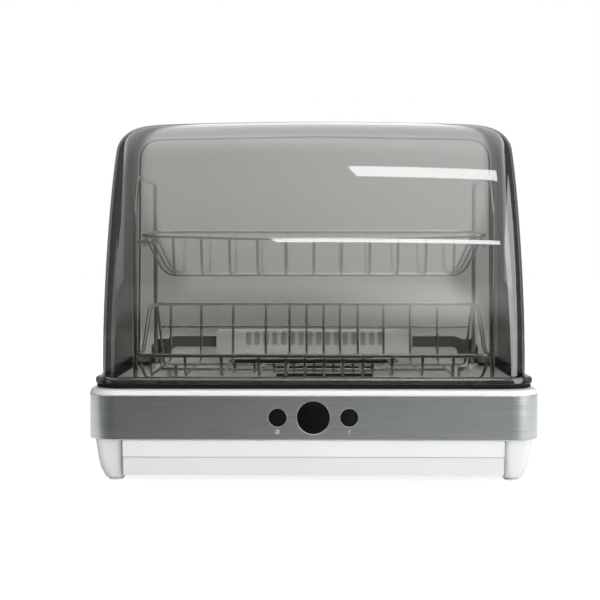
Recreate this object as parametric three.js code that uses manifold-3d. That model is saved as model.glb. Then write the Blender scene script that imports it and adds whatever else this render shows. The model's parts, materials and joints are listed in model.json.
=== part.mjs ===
// An electric dish dryer: a white base with a steel band, a drip tray that pulls out to the
// front, wire baskets over a drain basin, a warm-air outlet at the back and a smoked dome lid
// hinged at the back. Millimetres, +Z up, the front faces -Y. Depths ("front", "rear") are
// measured from the front face of the steel band towards the back.
import * as THREE from "three";
import { mergeVertices } from "three/addons/utils/BufferGeometryUtils.js";
import Module from "manifold-3d";

const wasm = await Module();
wasm.setup();

// Overall base
const baseWidth = 470;
const baseDepth = 330;
const baseCornerRadius = 31;
const housingBottom = 45.5;
const bandHeight = 45;
const deckRise = 6.7;

// Clearances and cuts shared by neighbours
const gap = 0.3;
const runningGap = 0.5;
const overrun = 5;
const bandSteps = 6;
const cornerSteps = 5;
const smallSteps = 3;
const largeSides = 40;
const roundSides = 24;
const smallSides = 16;
const tinySides = 12;
const weldDistance = 1e-4;
const sliverSize = 0.03;

// Steel band
const bandThickness = 0.8;
const bandLip = 4;
const bandRearInset = 30;

// Lower housing
const housingWall = 3;
const housingFloor = 2.5;
const bossRadius = 3.5;
const bossSpacing = 112;
const rearVentCount = 11;
const rearVentPitch = 9;
const rearVentWidth = 3;
const rearVentHeight = 22;
const floorVentCount = 9;
const floorVentPitch = 12;
const floorVentWidth = 5;
const floorVentLength = 24;

// Deck and basin
const deckPlate = 2.5;
const deckEdgeRound = 5;
const basinSideLedge = 51;
const basinFront = 25;
const basinRearLedge = 44;
const basinRadius = 26;
const basinRearRadius = 10;
const basinDepth = 19.2;
const basinWall = 2.5;
const basinFlange = 4;
const basinFlangeThickness = 1.6;
const basinSideSlope = 6;
const basinEndSlope = 3;
const drainRadius = 7;
const drainWall = 2.5;
const drainCount = 5;
const drainPitch = 46;
const drainHoleRadius = 3.2;
const socketRadius = 5.5;
const socketRise = 6;
const socketFloor = 1.2;

// Feet
const footTopWidth = 30.5;
const footBottomWidth = 20;
const footDepth = 56;
const footInset = 14;
const footTaper = 6;
const footRadius = 9;
const footLevels = 5;
const padHeight = 1.8;
const padInset = 2.5;

// Drip tray and runners
const trayInset = 37.5;
const trayPanelThickness = 3;
const trayPanelBottom = 6.8;
const trayPanelFront = 3.5;
const trayStepHeight = 25.8;
const trayStepDepth = 2.6;
const trayDraft = 4;
const trayWall = 2.2;
const trayBodyInset = 15.5;
const trayRearInset = 34;
const trayFloorBottom = 9;
const trayHeight = 29;
const trayRimWidth = 7;
const trayRadius = 10;
const runnerThickness = 2.5;
const runnerFront = 46;
const runnerRearInset = 14;

// Buttons, display and board
const controlPitch = 37;
const buttonRadius = 9.2;
const buttonProud = 1.2;
const buttonTravel = 1.5;
const buttonFlange = 1.6;
const buttonStemRadius = 2;
const crownSteps = 3;
const switchSide = 12;
const switchDepth = 7.4;
const switchBore = 5;
const displayRadius = 16.9;
const displayThickness = 2;
const displayBlockSide = 25;
const boardWidth = 124;
const boardHeight = 34;
const boardThickness = 1.6;
const boardFront = 19;

// Lid
const lidInset = 12.3;
const lidFront = 11;
const lidRearInset = 22;
const lidHeight = 284.5;
const lidWall = 3;
const lidTopFront = 160;
const lidFrontRise = 150;
const lidTopReach = 52;
const lidFrontRadius = 25;
const lidRearRadius = 9;
const lidTopRadius = 30;
const lidTaper = 3;
const lidCrown = 5;
const lidLevels = 13;
const lidArcSteps = 4;
const lidSpans = 3;
const rimProud = 7;
const rimRearProud = 3.5;
const rimHeight = 7.5;
const rimShoulder = 5;
const rimBevel = 3.5;
const sealHeight = 3.7;
const sealWidth = 7;
const sealInset = 1.5;

// Hinge
const hingeInset = 32.7;
const hingeSetback = 10;
const hingeRise = 16.5;
const pinRadius = 2.5;
const knuckleRadius = 5.5;
const knuckleWidth = 17;
const earThickness = 4;
const bracketPlate = 2.5;
const leafDrop = 6;
const leafRise = 12;
const leafThickness = 3;

// Rear duct, outlet and heater
const ductLap = 3;
const ductInset = 10;
const ductRise = 38.8;
const ductSetback = 10;
const ductDepth = 16.5;
const ductPanel = 2.6;
const ductRadius = 20;
const trimWidth = 13;
const trimThickness = 1.2;
const trimHeight = 23;
const grilleLeft = 46.5;
const grilleRight = 71.5;
const grilleSill = 4;
const grilleHeight = 27.5;
const grilleBar = 2.2;
const grilleRows = 3;
const screenThickness = 1.2;
const screenBarCount = 17;
const screenBar = 1.4;
const outletWidth = 236;
const outletSill = 18.3;
const outletHeight = 29;
const outletDepth = 17;
const outletWall = 2;
const outletRadius = 3;
const slotCount = 16;
const slotPitch = 10.6;
const slotWidth = 6.2;
const slotSill = 10;
const slotHead = 2.1;
const heaterThickness = 3;
const heaterHeight = 18;
const heaterRib = 1.2;
const heaterRibCount = 14;

// Cross-flow fan
const fanSetback = 24;
const fanRise = 22.5;
const fanRadius = 15.5;
const fanInnerRadius = 11;
const fanLeft = -50;
const fanRight = 72;
const fanBlades = 14;
const bladeThickness = 0.9;
const bladePitch = Math.PI / 6;
const fanDisc = 2;
const shaftRadius = 2.5;
const shaftReach = 12;
const scrollThickness = 1.2;
const motorRadius = 15;
const motorLength = 40;
const motorBore = 6;
const bearingThickness = 7;
const bearingWidth = 18;

// Cord gland
const glandRadius = 8;
const glandBore = 3.6;
const glandDepth = 9;
const glandInset = 38;

// Wires
const railWire = 4.4;
const gridWire = 3;
const frameWire = 5;
const wireSides = 5;
const railSides = 6;
const bendSteps = 2;
const weldShare = 0.6;
const beadLength = 6;
const beadRise = 0.4;

// Side frames
const frameLedge = 8;
const frameFront = 70;
const frameRearInset = 21;
const frameHeadroom = 66;
const frameShoulderDrop = 36;
const frameShoulderReach = 28;
const frameBarDrop = 73;
const frameBend = 8;

// Lower basket
const lowerSideGap = 5.5;
const lowerFront = 30;
const lowerRearInset = 36;
const lowerRise = 10.8;
const lowerFrontHeight = 21.8;
const lowerMidHeight = 40.6;
const lowerBackHeight = 68;
const lowerRiseFront = 94;
const lowerRiseRear = 161;
const lowerWallSlope = 8;
const lowerBend = 13;
const lowerCrossBend = 5;
const lowerCorner = 16;
const lowerCrossWires = 2;
const lowerCrossInset = 18;
const lowerLegInset = 22;
// Lengthwise wires, as shares of the half width: close together where plates stand.
const lowerWireShares = [-0.92, -0.725, -0.52, -0.31, -0.158, -0.049, 0.06, 0.166, 0.28, 0.444, 0.615, 0.788];

// Upper basket
const upperSideGap = 7.5;
const upperFrontInset = 2;
const upperRearInset = 25;
const upperDrop = 32;
const upperFrontHeight = 41;
const upperBackHeight = 47;
const upperSideSlope = 22;
const upperEndSlope = 14;
const upperBend = 14;
const upperCorner = 18;
const upperSag = 3;
const upperSagShare = 1 / 3;
const upperWires = 11;
const upperWireInset = 33;
const upperCrossWires = 3;
const upperCrossInset = 10;
const hookInset = 30;
const hookReach = 12;
const hookDrop = 7;

// Cutlery tray
const cutleryWidth = 178;
const cutleryInset = 16;
const cutleryDepth = 32;
const cutleryHeight = 14.5;
const cutleryWire = 2.4;
const cutleryBar = 3.7;
const cutleryWires = 9;
const cutleryCorner = 5;

// Levels that follow from the sizes above
const housingTop = housingBottom + bandHeight;
const deckBottom = housingTop + gap;
const deckTop = housingTop + deckRise;
const controlHeight = (housingTop + housingBottom) / 2;
const basinFloorTop = deckTop - basinDepth;
const sealBottom = deckTop + gap;
const lidBottom = sealBottom + sealHeight + gap;
const lidTop = lidBottom + lidHeight;
const hingeHeight = lidBottom + hingeRise;
const trayTop = housingBottom - bandThickness - gap;
const ductTop = deckTop + ductRise;
const trimEnd = ductTop - trimHeight;
const grilleBottom = basinFloorTop + grilleSill;
const grilleTop = grilleBottom + grilleHeight;
const outletBottom = deckTop + outletSill;
const outletTop = outletBottom + outletHeight;
const slotBottom = outletBottom + slotSill;
const slotTop = outletTop - slotHead;
const fanHeight = housingBottom + fanRise;
const frameTop = lidTop - frameHeadroom;
const frameShoulder = frameTop - frameShoulderDrop;
const frameBar = frameTop - frameBarDrop;
const lowerFloor = deckTop + lowerRise;
const lowerFrontRail = lowerFloor + lowerFrontHeight;
const lowerMidRail = lowerFloor + lowerMidHeight;
const lowerBackRail = lowerFloor + lowerBackHeight;
const upperFloor = frameBar - upperDrop;
const upperFrontRail = upperFloor + upperFrontHeight;
const upperBackRail = upperFloor + upperBackHeight;
const cutleryRim = lowerFloor + cutleryHeight;

// Widths and depths that follow from the base's
const halfBase = baseWidth / 2;
const frontY = -(baseDepth - buttonProud) / 2;
const housingInset = bandThickness + gap;
const bandRear = baseDepth - bandRearInset;
const basinWidth = baseWidth - 2 * basinSideLedge;
const basinRear = baseDepth - basinRearLedge;
const basinMiddle = (basinFront + basinRear) / 2;
const trayPanelWidth = baseWidth - 2 * trayInset;
const trayBodyWidth = trayPanelWidth - 2 * trayBodyInset;
const trayRear = baseDepth - trayRearInset;
const runnerRear = trayRear - runnerRearInset;
const lidWidth = baseWidth - 2 * lidInset;
const lidRear = baseDepth - lidRearInset;
const hingeSpacing = lidWidth - 2 * hingeInset;
const hingeDepth = lidRear + hingeSetback;
const ductWidth = basinWidth + 2 * ductLap;
const ductLowerWidth = basinWidth - 2 * ductInset;
const ductFront = basinRear - ductSetback;
const ductRear = ductFront + ductDepth;
const fanDepth = baseDepth - fanSetback;
const halfFrame = basinWidth / 2 + frameLedge;
const frameRear = basinRear - frameRearInset;
const frameTopFront = frameFront + frameShoulderReach;
const lowerHalf = halfFrame - lowerSideGap;
const lowerRear = basinRear - lowerRearInset;
const upperHalf = halfFrame - upperSideGap;
const upperWirePitch = (2 * (upperHalf - upperWireInset)) / (upperWires - 1);
const upperFront = frameFront + upperFrontInset;
const upperRear = frameRear - upperRearInset;
const cutleryFront = lowerFront + cutleryInset;
const cutleryRear = cutleryFront + cutleryDepth;

const finishes = {
  whitePlastic: { color: 0xe8e8e4, roughness: 0.42, metalness: 0 },
  smokedPlastic: { color: 0x6d6f6b, roughness: 0.06, metalness: 0, transparent: true, opacity: 0.5 },
  brushedSteel: { color: 0x8f9491, roughness: 0.34, metalness: 1 },
  steelWire: { color: 0xb9bab6, roughness: 0.18, metalness: 1 },
  blackGloss: { color: 0x0b0c0d, roughness: 0.12, metalness: 0 },
  blackPlastic: { color: 0x1b1c1c, roughness: 0.5, metalness: 0 },
  darkPlastic: { color: 0x3f403c, roughness: 0.45, metalness: 0 },
  rubber: { color: 0x17181a, roughness: 0.8, metalness: 0 },
  circuitBoard: { color: 0x24573a, roughness: 0.5, metalness: 0 },
  mica: { color: 0xa98f72, roughness: 0.6, metalness: 0 },
  zincSteel: { color: 0xa7abad, roughness: 0.35, metalness: 1 },
};

/** The Y of a place that lies the given depth behind the band's front face. */
function atDepth(depth) {
  return frontY + depth;
}

/** A closed geometry as a solid, with its shared corners merged and its faces turned outwards. */
function solidOf(geometry) {
  const bare = geometry.clone();
  bare.deleteAttribute("normal");
  bare.deleteAttribute("uv");
  const merged = mergeVertices(bare, weldDistance);
  const corners = merged.index.array;
  const faces = [];
  for (let i = 0; i < corners.length; i += 3) {
    const [a, b, c] = corners.slice(i, i + 3);
    if (a !== b && b !== c && c !== a) faces.push(a, b, c);
  }
  const vertProperties = merged.attributes.position.array;
  const build = (triVerts) =>
    new wasm.Manifold(new wasm.Mesh({ numProp: 3, vertProperties, triVerts: new Uint32Array(triVerts) }));
  const solid = build(faces);
  return solid.volume() < 0 ? build(faces.reverse()) : solid;
}

/** A solid's surface as a geometry with flat facets, without slivers. */
function geometryOf(solid) {
  const mesh = solid.simplify(sliverSize).getMesh();
  const places = new Float32Array(mesh.numVert * 3);
  for (let i = 0; i < mesh.numVert; i++)
    places.set(mesh.vertProperties.subarray(i * mesh.numProp, i * mesh.numProp + 3), i * 3);
  const indexed = new THREE.BufferGeometry();
  indexed.setAttribute("position", new THREE.BufferAttribute(places, 3));
  indexed.setIndex(new THREE.BufferAttribute(mesh.triVerts, 1));
  const facets = indexed.toNonIndexed();
  facets.computeVertexNormals();
  return facets;
}

function join(...solids) {
  return solids.flat().reduce((whole, piece) => whole.add(piece));
}

function cut(body, ...tools) {
  return tools.flat().reduce((left, tool) => left.subtract(tool), body);
}

/** A box between two corners. */
function box(x, y, z) {
  const geometry = new THREE.BoxGeometry(x[1] - x[0], y[1] - y[0], z[1] - z[0]);
  geometry.translate((x[0] + x[1]) / 2, (y[0] + y[1]) / 2, (z[0] + z[1]) / 2);
  return solidOf(geometry);
}

/** A round bar along Y, from one depth to another. */
function barAlongY(radius, x, depths, z, sides = roundSides) {
  const geometry = new THREE.CylinderGeometry(radius, radius, depths[1] - depths[0], sides);
  geometry.translate(x, atDepth((depths[0] + depths[1]) / 2), z);
  return solidOf(geometry);
}

/** A round bar along X. */
function barAlongX(radius, x, depth, z, sides = roundSides) {
  const geometry = new THREE.CylinderGeometry(radius, radius, x[1] - x[0], sides);
  geometry.rotateZ(Math.PI / 2);
  geometry.translate((x[0] + x[1]) / 2, atDepth(depth), z);
  return solidOf(geometry);
}

/** A round bar along Z. */
function barAlongZ(radius, x, depth, z, sides = roundSides) {
  const geometry = new THREE.CylinderGeometry(radius, radius, z[1] - z[0], sides);
  geometry.rotateX(Math.PI / 2);
  geometry.translate(x, atDepth(depth), (z[0] + z[1]) / 2);
  return solidOf(geometry);
}

/** A profile of [radius, depth] points turned round an axis along Y. */
function turnedAlongY(profile, x, z, sides = roundSides) {
  const points = profile.map(([radius, depth]) => new THREE.Vector2(radius, atDepth(depth)));
  const geometry = new THREE.LatheGeometry(points, sides);
  geometry.translate(x, 0, z);
  return solidOf(geometry);
}

/** An outline drawn in X and Z, given thickness along Y between two depths. */
function plateAlongY(shape, depths, curveSegments = bandSteps) {
  const geometry = new THREE.ExtrudeGeometry(shape, {
    depth: depths[1] - depths[0],
    bevelEnabled: false,
    curveSegments,
  });
  geometry.rotateX(Math.PI / 2);
  geometry.translate(0, atDepth(depths[1]), 0);
  return solidOf(geometry);
}

/** A level outline with round corners, as points running anticlockwise seen from above. */
function ring({ half, front, rear, frontRadius, rearRadius = frontRadius, z, x = 0 }, steps = cornerSteps, spans = 1) {
  const corners = [
    [half - frontRadius, front + frontRadius, frontRadius, -Math.PI / 2],
    [half - rearRadius, rear - rearRadius, rearRadius, 0],
    [rearRadius - half, rear - rearRadius, rearRadius, Math.PI / 2],
    [frontRadius - half, front + frontRadius, frontRadius, Math.PI],
  ];
  const arcs = corners.map(([cx, depth, radius, start]) =>
    Array.from({ length: steps + 1 }, (_, i) => {
      const angle = start + (i / steps) * (Math.PI / 2);
      return new THREE.Vector3(
        x + cx + radius * Math.cos(angle),
        atDepth(depth + radius * Math.sin(angle)),
        z,
      );
    }),
  );
  return arcs.flatMap((arc, i) => {
    const next = arcs[(i + 1) % arcs.length][0];
    const last = arc[arc.length - 1];
    const between = Array.from({ length: spans - 1 }, (_, k) => last.clone().lerp(next, (k + 1) / spans));
    return [...arc, ...between];
  });
}

/** A closed solid through level rings that all have as many points, with flat ends. */
function loft(rings) {
  const count = rings[0].length;
  const centre = (points) =>
    points.reduce((sum, p) => sum.add(p), new THREE.Vector3()).divideScalar(points.length);
  const vertices = [...rings.flat(), centre(rings[0]), centre(rings[rings.length - 1])];
  const bottom = vertices.length - 2;
  const top = vertices.length - 1;
  const faces = [];
  for (let j = 0; j < count; j++) {
    const k = (j + 1) % count;
    const last = (rings.length - 1) * count;
    faces.push(bottom, k, j, top, last + j, last + k);
    for (let i = 0; i < rings.length - 1; i++) {
      const low = i * count;
      const high = low + count;
      faces.push(low + j, low + k, high + k, low + j, high + k, high + j);
    }
  }
  const geometry = new THREE.BufferGeometry().setFromPoints(vertices);
  geometry.setIndex(faces);
  return solidOf(geometry);
}

/** A straight-sided solid over one level outline. */
function prism(outline, z, steps = cornerSteps) {
  return loft(z.map((level) => ring({ ...outline, z: level }, steps)));
}

/** The centre line of a bent wire, with one ring of the wire's surface at each of its points. */
class WirePath extends THREE.Curve {
  constructor(points) {
    super();
    this.points = points;
  }
  place(t) {
    return Math.round(t * (this.points.length - 1));
  }
  getPoint(t) {
    return this.points[this.place(t)].clone();
  }
  getPointAt(t) {
    return this.getPoint(t);
  }
  getTangentAt(t, target = new THREE.Vector3()) {
    const i = this.place(t);
    const last = this.points.length - 1;
    const before = this.points[i].clone().sub(this.points[Math.max(i - 1, 0)]).normalize();
    const after = this.points[Math.min(i + 1, last)].clone().sub(this.points[i]).normalize();
    return target.copy(before.add(after)).normalize();
  }
}

/** A wire through corner points [x, depth, z], with a round bend at each inner corner. */
function wire(corners, diameter, bend = 0) {
  const sides = diameter < railWire ? wireSides : railSides;
  const marks = corners.map(([x, depth, z]) => new THREE.Vector3(x, atDepth(depth), z));
  const points = [marks[0]];
  for (let i = 1; i < marks.length - 1; i++) {
    const back = marks[i - 1].clone().sub(marks[i]);
    const ahead = marks[i + 1].clone().sub(marks[i]);
    const reach = Math.min(bend, back.length() / 2, ahead.length() / 2);
    const start = marks[i].clone().addScaledVector(back.normalize(), reach);
    const end = marks[i].clone().addScaledVector(ahead.normalize(), reach);
    points.push(...new THREE.QuadraticBezierCurve3(start, marks[i], end).getPoints(bendSteps));
  }
  points.push(marks[marks.length - 1]);
  const distinct = points.filter((p, i) => i === 0 || p.distanceTo(points[i - 1]) > weldDistance);
  const section = new THREE.Shape(
    Array.from({ length: sides }, (_, i) => {
      const angle = (2 * Math.PI * (i + 1 / 2)) / sides;
      return new THREE.Vector2(Math.cos(angle), Math.sin(angle)).multiplyScalar(diameter / 2);
    }),
  );
  const geometry = new THREE.ExtrudeGeometry(section, {
    extrudePath: new WirePath(distinct),
    steps: distinct.length - 1,
  });
  return solidOf(geometry);
}

/** The same wire and its mirror image across the middle of the object. */
function wirePair(corners, diameter, bend) {
  const right = wire(corners, diameter, bend);
  return [right, right.mirror([1, 0, 0])];
}

/** A closed rim from the corners of its right half, rear to front, butt welded at the rear middle. */
function rim(corners, diameter, bend) {
  const mirrored = corners.map(([x, depth, z]) => [-x, depth, z]).reverse();
  const [, depth, z] = corners[0];
  const loop = wire([[gap, depth, z], ...corners, ...mirrored, [-gap, depth, z]], diameter, bend);
  const bead = wire([[-beadLength / 2, depth, z], [beadLength / 2, depth, z]], diameter + 2 * beadRise);
  return join(loop, bead);
}

const dryer = new THREE.Group();

/** Adds one named piece with its finish. */
function piece(name, solid, finish) {
  const mesh = new THREE.Mesh(geometryOf(solid), new THREE.MeshStandardMaterial(finishes[finish]));
  mesh.name = name;
  dryer.add(mesh);
}

// The base

/** A level outline that follows the base's outside, moved inwards by an inset. */
function baseOutline(inset) {
  return {
    half: halfBase - inset,
    front: inset,
    rear: baseDepth - inset,
    frontRadius: baseCornerRadius - inset,
  };
}

/** Round holes through the front wall for the two buttons and the display. */
function controlHoles(clearance, depths) {
  return [
    barAlongY(buttonRadius + clearance, -controlPitch, depths, controlHeight),
    barAlongY(displayRadius + clearance, 0, depths, controlHeight, largeSides),
    barAlongY(buttonRadius + clearance, controlPitch, depths, controlHeight),
  ];
}

function steelBand() {
  const wrap = prism(baseOutline(0), [housingBottom - bandThickness - gap, housingTop], bandSteps);
  const inside = prism(baseOutline(bandThickness), [housingBottom - gap, housingTop + overrun], bandSteps);
  const lipHole = prism(baseOutline(bandLip), [0, housingTop], bandSteps);
  const rearCut = box(
    [-baseWidth, baseWidth],
    [atDepth(bandRear), atDepth(baseDepth + overrun)],
    [0, housingTop + overrun],
  );
  return cut(wrap, inside, lipHole, rearCut, controlHoles(2 * gap, [-overrun, housingWall]));
}

/** A row of upright slots through the rear wall. */
function rearVents() {
  return Array.from({ length: rearVentCount }, (_, i) => {
    const x = (i - (rearVentCount - 1) / 2) * rearVentPitch;
    return box(
      [x - rearVentWidth / 2, x + rearVentWidth / 2],
      [atDepth(baseDepth - housingInset - housingWall - overrun), atDepth(baseDepth + overrun)],
      [controlHeight - rearVentHeight / 2, controlHeight + rearVentHeight / 2],
    );
  });
}

/** A row of slots through the floor, under the fan. */
function floorVents() {
  return Array.from({ length: floorVentCount }, (_, i) => {
    const x = (fanLeft + fanRight) / 2 + (i - (floorVentCount - 1) / 2) * floorVentPitch;
    return box(
      [x - floorVentWidth / 2, x + floorVentWidth / 2],
      [atDepth(fanDepth - fanRadius - floorVentLength), atDepth(fanDepth - fanRadius)],
      [housingBottom - overrun, housingBottom + housingFloor + overrun],
    );
  });
}

function baseHousing() {
  const outside = prism(baseOutline(housingInset), [housingBottom, housingTop], bandSteps);
  const inside = prism(
    baseOutline(housingInset + housingWall),
    [housingBottom + housingFloor, housingTop + overrun],
    bandSteps,
  );
  const wallInside = housingInset + housingWall;
  const bosses = [-1, 1].map((side) =>
    barAlongY(bossRadius, (side * bossSpacing) / 2, [wallInside - gap, boardFront - gap], controlHeight, tinySides),
  );
  const spoutHole = barAlongZ(
    drainRadius + drainWall + runningGap,
    0,
    basinMiddle,
    [0, housingTop],
  );
  const glandHole = barAlongY(
    glandRadius + gap,
    halfBase - glandInset,
    [baseDepth - glandDepth - overrun, baseDepth + overrun],
    controlHeight,
  );
  const shell = cut(
    outside,
    inside,
    controlHoles(gap, [-overrun, wallInside + gap]),
    spoutHole,
    glandHole,
    rearVents(),
    floorVents(),
  );
  return join(shell, bosses);
}

/** The basin's outline at a height, from the sloping walls of the deck's recess. */
function basinOutline(z, wall) {
  const drop = (deckTop - z) / (deckTop - basinFloorTop);
  return {
    half: basinWidth / 2 - basinSideSlope * drop + wall,
    front: basinFront + basinEndSlope * drop - wall,
    rear: basinRear - basinEndSlope * drop + wall,
    frontRadius: basinRadius + wall,
    rearRadius: basinRearRadius + wall,
    z,
  };
}

/** The space inside the basin, open upwards. */
function basinHollow() {
  return loft([ring(basinOutline(basinFloorTop, 0)), ring(basinOutline(deckTop + overrun, 0))]);
}

function deck() {
  const edgeStart = deckTop - deckEdgeRound;
  const edge = Array.from({ length: smallSteps }, (_, i) => {
    const angle = (i / (smallSteps - 1)) * (Math.PI / 2);
    const inset = deckEdgeRound * (1 - Math.cos(angle));
    return ring({ ...baseOutline(inset), z: edgeStart + deckEdgeRound * Math.sin(angle) }, bandSteps);
  });
  const plate = loft([ring({ ...baseOutline(0), z: deckBottom }, bandSteps), ...edge]);
  const underside = prism(
    baseOutline(housingInset + housingWall + gap),
    [deckBottom - overrun, deckTop - deckPlate],
    bandSteps,
  );
  const places = [-1, 1].flatMap((side) => [frameFront, frameRear].map((depth) => [side * halfFrame, depth]));
  const sockets = places.map(([x, depth]) =>
    barAlongZ(socketRadius, x, depth, [deckTop - gap, deckTop + socketRise], smallSides),
  );
  const socketHoles = places.map(([x, depth]) => {
    const range = [deckTop - deckPlate + socketFloor, deckTop + 2 * socketRise];
    return barAlongZ(frameWire / 2 + gap, x, depth, range, smallSides);
  });
  return cut(join(cut(plate, underside), sockets), basinHollow(), socketHoles);
}

/**
 * The drain basin, flanged under the deck's plate, with its spout and drain holes. Its rear wall is open down
 * to the floor where the rear duct's panel and grille close it.
 */
function basin() {
  const top = deckTop - deckPlate - gap;
  const tub = loft([
    ring(basinOutline(basinFloorTop - basinWall, basinWall)),
    ring(basinOutline(top, basinWall)),
  ]);
  const flange = prism(basinOutline(deckTop, basinWall + basinFlange), [top - basinFlangeThickness, top]);
  const spout = barAlongZ(
    drainRadius + drainWall,
    0,
    basinMiddle,
    [housingBottom, basinFloorTop - gap],
    roundSides,
  );
  const drains = Array.from({ length: drainCount }, (_, i) => i - (drainCount - 1) / 2)
    .filter((i) => i !== 0)
    .map((i) => {
      const range = [basinFloorTop - 2 * basinWall, deckTop];
      return barAlongZ(drainHoleRadius, i * drainPitch, basinMiddle, range, tinySides);
    });
  const spoutBore = barAlongZ(drainRadius, 0, basinMiddle, [0, deckTop], roundSides);
  const fanWindow = box(
    [-grilleLeft, grilleRight],
    [atDepth(basinRear - 2 * basinEndSlope), atDepth(basinRear + 2 * basinWall + basinFlange)],
    [basinFloorTop, deckTop],
  );
  return cut(join(tub, flange, spout), basinHollow(), spoutBore, drains, fanWindow);
}

/** A tapered foot at one corner: side is left or right, end is front or rear. */
function foot(side, end) {
  const inner = trayPanelWidth / 2 + runningGap;
  const top = housingBottom - gap;
  const bottom = padHeight + gap;
  const rings = Array.from({ length: footLevels }, (_, i) => {
    const rise = i / (footLevels - 1);
    const swell = Math.sqrt(rise);
    const width = footBottomWidth + (footTopWidth - footBottomWidth) * swell;
    const taper = footTaper * (1 - swell);
    const near = footInset + taper;
    const far = footInset + footDepth - taper;
    const [front, rear] = end > 0 ? [near, far] : [baseDepth - far, baseDepth - near];
    return ring(
      {
        half: width / 2,
        x: side * (inner + width / 2),
        front,
        rear,
        frontRadius: footRadius,
        z: bottom + (top - bottom) * rise,
      },
      smallSteps,
    );
  });
  return loft(rings);
}

/** The rubber pad under a foot. */
function footPad(side, end) {
  const half = footBottomWidth / 2 - padInset;
  const x = side * (trayPanelWidth / 2 + runningGap + footBottomWidth / 2);
  const near = footInset + footTaper + padInset;
  const far = footInset + footDepth - footTaper - padInset;
  const [front, rear] = end > 0 ? [near, far] : [baseDepth - far, baseDepth - near];
  return prism({ half, x, front, rear, frontRadius: footRadius - padInset }, [0, padHeight], smallSteps);
}

function cordGland() {
  const face = baseDepth - housingInset;
  const start = baseDepth - glandDepth;
  return turnedAlongY(
    [
      [glandBore, start],
      [glandRadius, start],
      [glandRadius, face],
      [glandBore, face],
      [glandBore, start],
    ],
    halfBase - glandInset,
    controlHeight,
    smallSides,
  );
}

// The drip tray

function dripTray() {
  const half = trayPanelWidth / 2;
  const front = trayPanelFront;
  const profile = new THREE.Shape();
  profile.moveTo(front + trayStepDepth + trayDraft, trayPanelBottom);
  profile.lineTo(front + trayStepDepth, trayStepHeight);
  profile.lineTo(front, trayStepHeight + trayStepDepth / 2);
  profile.lineTo(front, trayTop - trayStepDepth / 2);
  profile.lineTo(front + trayStepDepth / 2, trayTop);
  profile.lineTo(front + trayStepDepth + trayDraft + trayPanelThickness, trayTop);
  profile.lineTo(front + trayStepDepth + trayDraft + trayPanelThickness, trayPanelBottom);
  const sweep = new THREE.ExtrudeGeometry(profile, { depth: trayPanelWidth, bevelEnabled: false });
  sweep.rotateX(Math.PI / 2);
  sweep.rotateZ(Math.PI / 2);
  sweep.translate(-half, frontY, 0);
  const panel = solidOf(sweep);
  const bodyFront = front + trayStepDepth + trayDraft + trayPanelThickness - gap;
  const outline = (inset, z) => ({
    half: trayBodyWidth / 2 - inset,
    front: bodyFront + inset,
    rear: trayRear - inset,
    frontRadius: Math.max(trayRadius - inset, gap),
    z,
  });
  const rimTop = trayFloorBottom + trayHeight;
  const body = loft([ring(outline(trayWall, trayFloorBottom)), ring(outline(0, rimTop))]);
  const rim = prism(
    { half: trayBodyWidth / 2 + trayRimWidth, front: bodyFront, rear: trayRear, frontRadius: trayRadius },
    [rimTop - trayWall, rimTop],
  );
  const hollow = loft([
    ring(outline(2 * trayWall, trayFloorBottom + trayWall)),
    ring(outline(trayWall, rimTop + overrun)),
  ]);
  return join(panel, cut(join(body, rim), hollow));
}

/** An L-shaped runner under the housing, whose lip carries the tray's rim. */
function trayRunner(side) {
  const rimUnderside = trayFloorBottom + trayHeight - trayWall;
  const lipTop = rimUnderside - gap;
  const rimEdge = trayBodyWidth / 2 + trayRimWidth;
  const web = [rimEdge + runningGap, rimEdge + runningGap + runnerThickness];
  const lip = [trayBodyWidth / 2 + runningGap, web[1]];
  const depths = [atDepth(runnerFront), atDepth(runnerRear)];
  const place = (x) => (side > 0 ? x : [-x[1], -x[0]]);
  return join(
    box(place(web), depths, [lipTop - runnerThickness, housingBottom - gap]),
    box(place(lip), depths, [lipTop - runnerThickness, lipTop]),
  );
}

// Buttons, display and board

function pushButton(side) {
  const back = housingInset + housingWall + gap;
  const flangeRear = back + buttonFlange;
  const stemEnd = boardFront - gap - switchDepth + switchBore - buttonTravel - gap;
  const crown = Array.from({ length: crownSteps + 1 }, (_, i) => {
    const share = i / crownSteps;
    return [buttonRadius * Math.sin((share * Math.PI) / 2), buttonProud * (share * share - 1)];
  });
  return turnedAlongY(
    [
      ...crown,
      [buttonRadius, back],
      [buttonRadius + buttonFlange, back],
      [buttonRadius + buttonFlange, flangeRear],
      [buttonStemRadius, flangeRear],
      [buttonStemRadius, stemEnd],
      [0, stemEnd],
    ],
    side * controlPitch,
    controlHeight,
  );
}

/** The switch behind a button, with the bore that its stem runs in. */
function pushSwitch(side) {
  const rear = boardFront - gap;
  const front = rear - switchDepth;
  const half = switchSide / 2;
  const body = box(
    [side * controlPitch - half, side * controlPitch + half],
    [atDepth(front), atDepth(rear)],
    [controlHeight - half, controlHeight + half],
  );
  const bore = barAlongY(
    buttonStemRadius + gap,
    side * controlPitch,
    [front - overrun, front + switchBore],
    controlHeight,
    smallSides,
  );
  return cut(body, bore);
}

function displayWindow() {
  const back = housingInset + housingWall + gap;
  return turnedAlongY(
    [
      [0, 0],
      [displayRadius, 0],
      [displayRadius, back],
      [displayRadius + displayThickness, back],
      [displayRadius + displayThickness, back + displayThickness],
      [0, back + displayThickness],
    ],
    0,
    controlHeight,
    largeSides,
  );
}

function displayBlock() {
  const front = housingInset + housingWall + 2 * gap + displayThickness;
  const half = displayBlockSide / 2;
  return box(
    [-half, half],
    [atDepth(front), atDepth(boardFront - gap)],
    [controlHeight - half, controlHeight + half],
  );
}

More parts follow.
